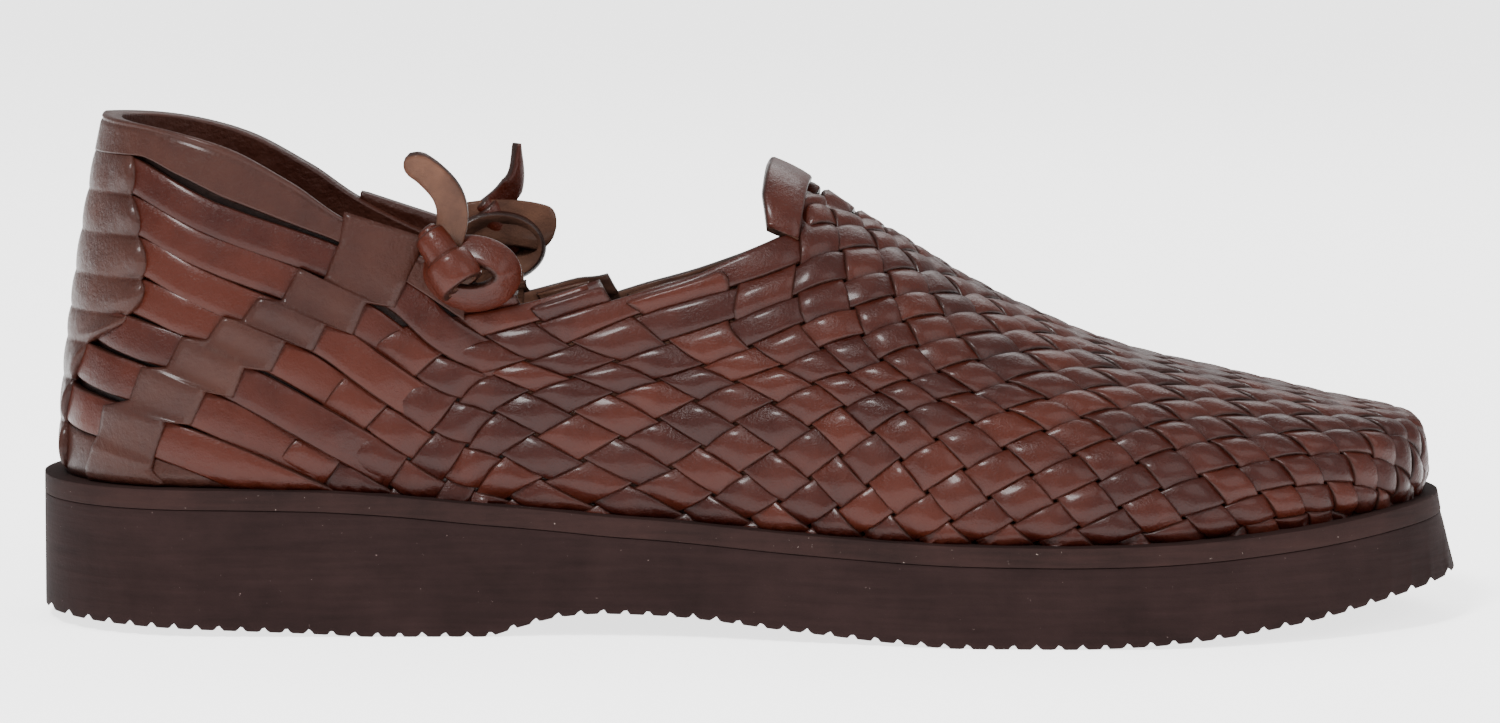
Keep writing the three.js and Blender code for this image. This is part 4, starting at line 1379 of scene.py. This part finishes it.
    def strap_path(self, k: int, side: int) -> tuple[np.ndarray, np.ndarray]:
        """Places and lifts of a long strap from the back band to the crossing that hides its end.

        Args:
            k: Number of the strap, from the top.
            side: OUTER or INNER.

        Returns:
            Places in the heel's chart and heights of the face over the last.
        """
        start, entry, exit_ = HEEL_STRAPS[k]
        strand = FIRST_HEEL_STRAND - 2 * k
        joint = Weave.joint_column(strand, side)
        spots = [(start[0] - 5.0, start[1] + 1.2, -0.7), (start[0] + 1.5, start[1] - 0.4, 0.1)]
        spots += [(mix(start[0], entry[0], 0.5), mix(start[1], entry[1], 0.5), 0.35)]
        spots += [(*entry, -0.25), (*exit_, -0.1)]
        for column in range(math.ceil((FIRST_RISER + strand) / 2), joint + 1):
            x, _, height = weave_point(column, column - strand)
            along = HEEL_ARC + x - HEEL_FAN
            if along > spots[-1][0] + 3:
                spots.append((along, height, -0.95 if column == joint else 0.9))
        x, _, height = weave_point(joint + 0.3, joint + 0.3 - strand)
        spots.append((HEEL_ARC + x - HEEL_FAN, height, -0.95))
        table = [{"at": heel_point(a, h)[0], "height": h, "lift": l} for a, h, l in spots]
        path, lifts, height = [], [], spots[0][1]
        for along in np.linspace(spots[0][0], spots[-1][0], self.path_points):
            x = heel_point(along, height)[0]
            height = follow(table, "height", x)
            path.append((side * along, height))
            lifts.append(follow(table, "lift", x))
        return np.array(path), np.array(lifts)

    def build(self) -> list[bpy.types.Object]:
        """Make the heel's pieces on both sides."""
        straps = Ribbons(self.chart, crown=0.25)
        for side in (OUTER, INNER):
            for k in range(len(HEEL_STRAPS)):
                path, lift = self.strap_path(k, side)
                grow = np.linspace(0.0, 1.0, len(path))
                half = (self.strap_width + self.wider_each * k + self.wider_ahead * grow) / 2
                tone = 0.35 + 0.09 * (k % 4)
                straps.add(path, half, np.zeros(len(path)), tone, base=lift)
        pieces = [
            (self.lining(), self.counter_finish), (straps.build("long_heel_straps"), self.strap_finish),
            (self.back_band(), self.counter_finish), (self.collar(), self.counter_finish),
            (self.skirt(), self.counter_finish), (self.arm(OUTER), self.counter_finish),
            (self.arm(INNER), self.counter_finish),
        ]
        for piece, finish in pieces:
            seat_and_clean(piece)
            enlist(piece, "upper", finish)
        return [piece for piece, _ in pieces]


def curve_through(spots: Sequence[Sequence[float]], count: int) -> np.ndarray:
    """Smooth curve through a few spots.

    Args:
        spots: Points that the curve passes through, in order.
        count: Number of points on the curve.

    Returns:
        The curve's points.
    """
    knots = np.array(spots, dtype=float)
    ends = [2 * knots[0] - knots[1], *knots, 2 * knots[-1] - knots[-2]]
    line = []
    for at in np.linspace(0, len(knots) - 1, count):
        k = min(int(at), len(knots) - 2)
        t = at - k
        line.append(sum(weight * knot for weight, knot in zip(curve_weights(t), ends[k : k + 4])))
    return np.array(line)


def crown_point(x: float, down: float) -> tuple[float, float, float]:
    """Point of the last at a place along the shoe and a length down from the crown, negative inside."""
    section = section_at(Zone.MIDDLE, x, INNER if down < 0 else OUTER)
    return section.point_up(section.girth - abs(down))


@dataclass
class ThroatStrap:
    """Strap folded over the top of the throat, down both sides of its edge."""

    chart: Chart
    finish: bpy.types.Material
    middle: float = 8.6
    drop: float = 30.0
    width: float = 8.2
    steps: int = 60
    lean: float = 0.1
    over: float = 1.1
    end_length: float = 10.0
    end_sink: float = 2.6
    end_shift: float = 1.4
    end_taper: float = 0.3

    def build(self) -> bpy.types.Object:
        """Make the strap, whose ends sink between their neighbours and taper."""
        ribbons = Ribbons(self.chart, crown=0.3)
        downs = np.linspace(self.drop, -self.drop, self.steps)
        end = np.clip((np.abs(downs) - self.drop + self.end_length) / self.end_length, 0, 1)
        along = self.middle - self.lean * np.abs(downs) + self.end_shift * end
        half = self.width / 2 * (1 - self.end_taper * end)
        base = self.over - self.end_sink * end**2
        ribbons.add(np.stack([along, downs], axis=1), half, np.zeros(self.steps), 0.4, base=base)
        return enlist(ribbons.build("throat_strap"), "upper", self.finish)


# Ties, seen from the side: place along the shoe, height and distance out from the upper's wall
OUTER_KNOT = ((-65.4, 82.6, 3.4), (-59.2, 73.4, 6.4))
OUTER_TAIL = (
    (-62.2, 77.5, 4.0), (-60.4, 84.5, 4.2), (-61.4, 89.6, 4.6), (-65.0, 93.8, 5.6), (-69.6, 97.0, 7.0),
)
INNER_KNOT = ((-57.0, 83.4, 3.2), (-50.8, 73.4, 6.2))
INNER_TAB = ((-61.5, 78.4, 1.4), (-54.0, 79.2, 1.6), (-47.0, 78.6, 1.8), (-41.6, 77.0, 2.0))
INNER_TAIL = ((-57.5, 80.5, 3.0), (-52.0, 84.8, 2.6), (-49.4, 89.0, 2.4), (-49.0, 96.0, 2.2))


@dataclass
class Ties:
    """The straps tied at the front of the collar: ring, rolled knot and loose tail on each side."""

    chart: Chart
    finish: bpy.types.Material
    ring_steps: int = 56
    ring_half: float = 3.4
    ring_length: float = 8.4
    ring_out: float = 3.2
    ring_depth: float = 4.0
    roll_steps: int = 60
    roll_turns: float = 1.55
    roll_gap: float = 1.7
    roll_growth: float = 1.71
    roll_drift: tuple[float, float] = (-0.06, 0.1)

    def wall(self, x: float, z: float, side: int, out: float) -> tuple[float, float, float]:
        """Point at a place seen from the side, a distance out from the upper's wall.

        Args:
            x: Place along the shoe.
            z: Height.
            side: OUTER or INNER.
            out: Distance out from the wall.

        Returns:
            The point.
        """
        along = side * (HEEL_ARC + x - HEEL_FAN)
        low = min(z, collar_height(along))
        y = float(self.chart.at(np.array([along, low]))[1])
        return x, y + side * out, z

    def route(self, side: int, spots: Sequence[tuple[float, float, float]], count: int) -> np.ndarray:
        """Smooth line through places seen from the side.

        Args:
            side: OUTER or INNER.
            spots: Place along the shoe, height and distance out from the wall of each.
            count: Number of points on the line.

        Returns:
            The line's points.
        """
        return curve_through([self.wall(x, z, side, out) for x, z, out in spots], count)

    def ring(
        self, ribbons: Ribbons, side: int, centre: tuple[float, float], height: float, swing: float,
        ahead: float = 0.0,
    ) -> None:
        """Closed loop of strap round a place on the wall.

        Args:
            ribbons: Straps of this tie.
            side: OUTER or INNER.
            centre: Place along the shoe and height of its middle.
            height: Half of its height.
            swing: How much further out it stands at one end than in the middle.
            ahead: Turn at which it stands out most, in radians.
        """
        x, z = centre
        middle = np.array([
            self.wall(
                x + self.ring_length * math.cos(a), z + height * math.sin(a), side,
                self.ring_out + swing * math.cos(a - ahead),
            )
            for a in np.linspace(0, 2 * math.pi, self.ring_steps, endpoint=False)
        ])
        inside = np.array(self.wall(x, z, side, -self.ring_depth))
        half = np.full(self.ring_steps, self.ring_half)
        ribbons.add_free(middle, middle - inside, half, 0.45, closed=True)

    def roll(self, ribbons: Ribbons, start: np.ndarray, end: np.ndarray, radius: float, tone: float) -> None:
        """Strap rolled one and a half turns round a line, with the open end of the roll at its start.

        Args:
            ribbons: Straps of this tie.
            start: One end of the line.
            end: Other end of the line.
            radius: Size of the roll.
            tone: Shade of the strap, 0 to 1.
        """
        axis = (end - start) / np.linalg.norm(end - start)
        up = np.cross(axis, (0.0, 1.0, 0.0))
        up /= np.linalg.norm(up)
        other = np.cross(axis, up)
        turns = np.linspace(0, 2 * math.pi * self.roll_turns, self.roll_steps)
        reach = radius - self.roll_gap + self.roll_growth * turns / turns[-1]
        spokes = np.cos(turns)[:, None] * up + np.sin(turns)[:, None] * other
        drift = np.linspace(*self.roll_drift, self.roll_steps)[:, None] * (end - start)
        middle = (start + end) / 2 + drift + spokes * reach[:, None]
        half = np.full(self.roll_steps, float(np.linalg.norm(end - start)) / 2)
        ribbons.add_free(middle, spokes, half, tone)

    def outer(self) -> bpy.types.Object:
        """Tie on the outer side."""
        ribbons = Ribbons(self.chart, crown=0.3)
        self.ring(ribbons, OUTER, (-57.0, 73.6), 5.4, 1.5, 0.4)
        top, foot = (np.array(self.wall(x, z, OUTER, out)) for x, z, out in OUTER_KNOT)
        self.roll(ribbons, top, foot, 3.7, 0.75)
        self.roll(ribbons, foot + (foot - top) * -0.42, foot + (foot - top) * 0.16, 5.3, 0.6)
        steps = 44
        half = np.full(steps, 3.2)
        half[-5:] = (3.0, 2.8, 2.4, 1.8, 0.9)
        twist = (np.linspace(0.2, -0.5, steps), np.full(steps, -1.0), np.linspace(0.0, -0.45, steps))
        tail = self.route(OUTER, OUTER_TAIL, steps)
        ribbons.add_free(tail, np.stack(twist, axis=1), half, 0.5, shown=1.0)
        return enlist(ribbons.build("tied_strap_outer"), "tie_outer", self.finish)

    def inner(self) -> bpy.types.Object:
        """Tie on the inner side: its tab shows the flesh side and its tail stands above the collar."""
        ribbons = Ribbons(self.chart, crown=0.3)
        self.ring(ribbons, INNER, (-54.0, 74.0), 5.2, 1.2)
        top, foot = (np.array(self.wall(x, z, INNER, out)) for x, z, out in INNER_KNOT)
        self.roll(ribbons, top, foot, 3.7, 0.7)
        steps = 40
        half = np.full(steps, 5.0)
        half[-8:] = 5.0 * np.sqrt(1 - np.linspace(0.1, 0.97, 8) ** 2)
        tab = self.route(INNER, INNER_TAB, steps)
        ribbons.add_free(tab, np.tile((0.0, -1.0, 0.1), (steps, 1)), half, 0.4, shown=1.0)
        half = np.concatenate([np.full(20, 2.6), np.linspace(2.5, 0.9, 16), (0.8, 0.7, 0.6, 0.4)])
        twist = (np.linspace(0.0, 1.2, steps), np.full(steps, -1.0), np.zeros(steps))
        tail = self.route(INNER, INNER_TAIL, steps)
        ribbons.add_free(tail, np.stack(twist, axis=1), half, 0.5)
        return enlist(ribbons.build("tied_strap_inner"), "tie_inner", self.finish)

    def build(self) -> list[bpy.types.Object]:
        """Make both ties."""
        return [self.outer(), self.inner()]


def closed_shell(name: str, layers: list[np.ndarray], tones: dict[str, float]) -> bpy.types.Object:
    """Closed wall between an outer and an inner grid of points.

    Args:
        name: Name of the piece.
        layers: Outer and inner grids of the same size.
        tones: Point attributes with one value each.

    Returns:
        The object.
    """
    columns, rows = layers[0].shape[:2]
    size = columns * rows
    faces: list[tuple[int, ...]] = []
    for i in range(columns - 1):
        for j in range(rows - 1):
            a, b = i * rows + j, (i + 1) * rows + j
            faces.append((a, b, b + 1, a + 1))
            faces.append((a + size, a + 1 + size, b + 1 + size, b + size))
    rim = [i * rows for i in range(columns - 1)]
    rim += [(columns - 1) * rows + j for j in range(rows - 1)]
    rim += [i * rows + rows - 1 for i in range(columns - 1, 0, -1)]
    rim += list(range(rows - 1, 0, -1))
    for k, a in enumerate(rim):
        b = rim[(k + 1) % len(rim)]
        faces.append((b, a, a + size, b + size))
    points = np.concatenate([layer.reshape(-1, 3) for layer in layers])
    values = {key: np.full(len(points), value) for key, value in tones.items()}
    return faces_out(mesh_piece(name, points, faces, values))


@dataclass
class Sole:
    """Outsole with its notched tread, the midsole layer on it and the insole."""

    wedge: bpy.types.Material
    rim: bpy.types.Material
    inside: bpy.types.Material
    stations: int = 620
    notch_half: float = 0.9
    crowding: float = 0.75
    tips: tuple[float, ...] = (0.000002, 0.00003, 0.0002, 0.0008)

    def places(self, inset: Inset, count: int) -> list[float]:
        """Stations along an outline, closer together towards its round ends."""
        start, length = BACK_X + inset.heel, SOLE_LENGTH - inset.heel - inset.toe
        turns = [k / count for k in range(1, count)]
        spots = [mix(t, (1 - math.cos(math.pi * t)) / 2, self.crowding) for t in turns]
        ends = [1 - tip for tip in reversed(self.tips)]
        return [start + length * s for s in [*self.tips, *spots, *ends]]

    def slab(
        self, name: str, inset: Inset, low: Callable[[float], float], high: Callable[[float], float],
        levels: tuple[float, float], count: int, side_rows: int, round_mm: float,
    ) -> bpy.types.Object:
        """Slab along the outline between two heights, with slightly rounded edges.

        Args:
            name: Name of the piece.
            inset: How far it lies inside the sole's edge.
            low: Height of its underside.
            high: Height of its top.
            levels: Draft of the wall at the bottom and the top.
            count: Number of stations.
            side_rows: Rows of points up the wall.
            round_mm: Radius of the top and bottom edges.

        Returns:
            The object.
        """
        rings = []
        for x in self.places(inset, count):
            end = max(0.0, (share(x) - 1 + TOE_END[0]) / TOE_END[0])
            ring = []
            steps = [(t, side) for side in (OUTER, INNER) for t in self.wall_steps(side_rows, side)]
            for (t, pull), side in steps:
                level = mix(levels[0], levels[1], t)
                edge = outline_y(x, side, inset)
                y = edge - side * min(SIDE_DRAFT * level + pull * round_mm, abs(edge) * 0.9)
                drawn = x - TOE_DRAFT * level * end**2
                z = mix(low(drawn), high(drawn), t)
                ring.append((drawn, y, z))
            rings.append(ring)
        faces = tube_faces(len(rings), len(rings[0]), 0)
        return faces_out(mesh_piece(name, np.array(rings).reshape(-1, 3), faces))

    @staticmethod
    def wall_steps(rows: int, side: int) -> list[tuple[float, float]]:
        """Share of the height and pull-in of each point up one wall, outer up and inner down."""
        steps = [(0.0, 1.0), (0.0, 0.35), (0.012, 0.1)]
        steps += [(mix(0.04, 0.96, k / (rows - 1)), 0.0) for k in range(rows)]
        steps += [(0.988, 0.1), (1.0, 0.35), (1.0, 1.0)]
        return steps if side == OUTER else steps[::-1]

    def tread(self, x: float) -> float:
        """Height of the notched underside."""
        phase = (x / TREAD_PITCH - 0.5) % 1.0
        notch = max(0.0, 1 - min(phase, 1 - phase) * TREAD_PITCH / self.notch_half)
        return sole_bottom(x) + TREAD_DEPTH * notch**0.8

    def build(self) -> list[bpy.types.Object]:
        """Make the three layers."""
        split = MIDSOLE_THICKNESS + CLEARANCE / 3
        outsole = self.slab(
            "wedge_outsole", SOLE_EDGE, self.tread, lambda x: sole_top(x) - split, (0.0, 0.85),
            self.stations, 6, 0.5,
        )
        midsole = self.slab(
            "midsole_layer", SOLE_EDGE, lambda x: sole_top(x) - MIDSOLE_THICKNESS, sole_top, (0.8, 1.0),
            240, 4, 0.45,
        )
        inset = WALL + 0.6
        inner = Inset(HEEL_INSET + inset, TOE_INSET + inset, SIDE_INSET + inset)
        insole = self.slab(
            "leather_insole", inner, lambda x: sole_top(x) + CLEARANCE,
            lambda x: sole_top(x) + CLEARANCE + INSOLE_THICKNESS, (0.0, 0.0), 160, 3, 0.6,
        )
        return [
            enlist(outsole, "outsole", self.wedge),
            enlist(midsole, "midsole", self.rim),
            enlist(insole, "insole", self.inside),
        ]


# Lights: name, place and width in metres, power in watts
LIGHTS = (
    ("key", (-0.5, -0.9, 1.3), 0.38, 28.0),
    ("fill", (0.9, -0.8, 0.9), 0.9, 8.0),
    ("back", (0.3, 1.0, 1.1), 0.8, 7.0),
)


@dataclass
class Studio:
    """Camera, pale floor and soft lights."""

    distance: float = 1.15
    pitch: float = 6.5
    target: tuple[float, float, float] = (0.0, 0.0, 0.0523)
    focal: float = 132.0
    sensor: float = 36.0
    aim: tuple[float, float, float] = (0.0, 0.0, 0.05)
    floor_half: float = 6000.0
    glow: float = 2.2
    sky: float = 0.75

    def camera(self) -> None:
        """Camera at the photograph's angle, from the outer side of the shoe."""
        data = bpy.data.cameras.new("camera")
        data.lens, data.sensor_width = self.focal, self.sensor
        camera = new_object("camera", data)
        tilt = math.radians(self.pitch)
        offset = Vector((0, -math.cos(tilt), math.sin(tilt))) * self.distance
        camera.location = Vector(self.target) + offset
        camera.rotation_euler = (math.pi / 2 - tilt, 0, 0)
        bpy.context.scene.camera = camera

    def floor(self) -> None:
        """Plain pale floor."""
        size = self.floor_half
        points = np.array([(-size, -size, 0), (size, -size, 0), (size, size, 0), (-size, size, 0)])
        floor = mesh_piece("floor", points, [(0, 1, 2, 3)])
        material, tree, shader = new_material("matt_white_paper")
        white = srgb("#ffffff")
        feed(
            tree, shader, Base_Color=white, Emission_Color=white, Emission_Strength=self.glow, Roughness=0.9
        )
        floor.data.materials.append(material)

    def light(self, name: str, place: tuple[float, float, float], size: float, power: float) -> None:
        """One soft area light that faces the shoe.

        Args:
            name: Name of the light.
            place: Its place, in metres.
            size: Its width, in metres.
            power: Its power, in watts.
        """
        data = bpy.data.lights.new(name, "AREA")
        data.shape, data.size, data.energy = "DISK", size, power
        lamp = new_object(name, data)
        lamp.location = place
        lamp.rotation_euler = (Vector(self.aim) - Vector(place)).to_track_quat("-Z", "Y").to_euler()

    def build(self) -> None:
        """Place camera, floor, world and lights."""
        self.camera()
        self.floor()
        world = bpy.data.worlds.new("studio")
        world.use_nodes = True
        tree = world.node_tree
        feed(tree, tree.nodes["Background"], Color=(1.0, 1.0, 1.0, 1.0), Strength=self.sky)
        bpy.context.scene.world = world
        for name, place, size, power in LIGHTS:
            self.light(name, place, size, power)


def main() -> None:
    """Build the sandal piece by piece."""
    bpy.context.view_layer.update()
    Studio().build()
    finishes = Finishes()
    strap, counter = finishes.strap.build(), finishes.counter.build()
    inside, wedge, rim = finishes.inside.build(), finishes.wedge.build(), finishes.rim.build()
    vamp = Chart(weave_point, *WEAVE_CHART)
    LOG.info("weave chart ready")
    heel = Chart(heel_point, *HEEL_CHART)
    LOG.info("heel chart ready")
    Sole(wedge, rim, inside).build()
    Weave(vamp, strap).build()
    HeelCounter(heel, strap, counter).build()
    ThroatStrap(Chart(crown_point, *CROWN_CHART), strap).build()
    Ties(heel, strap).build()


if __name__ == "__main__":
    main()
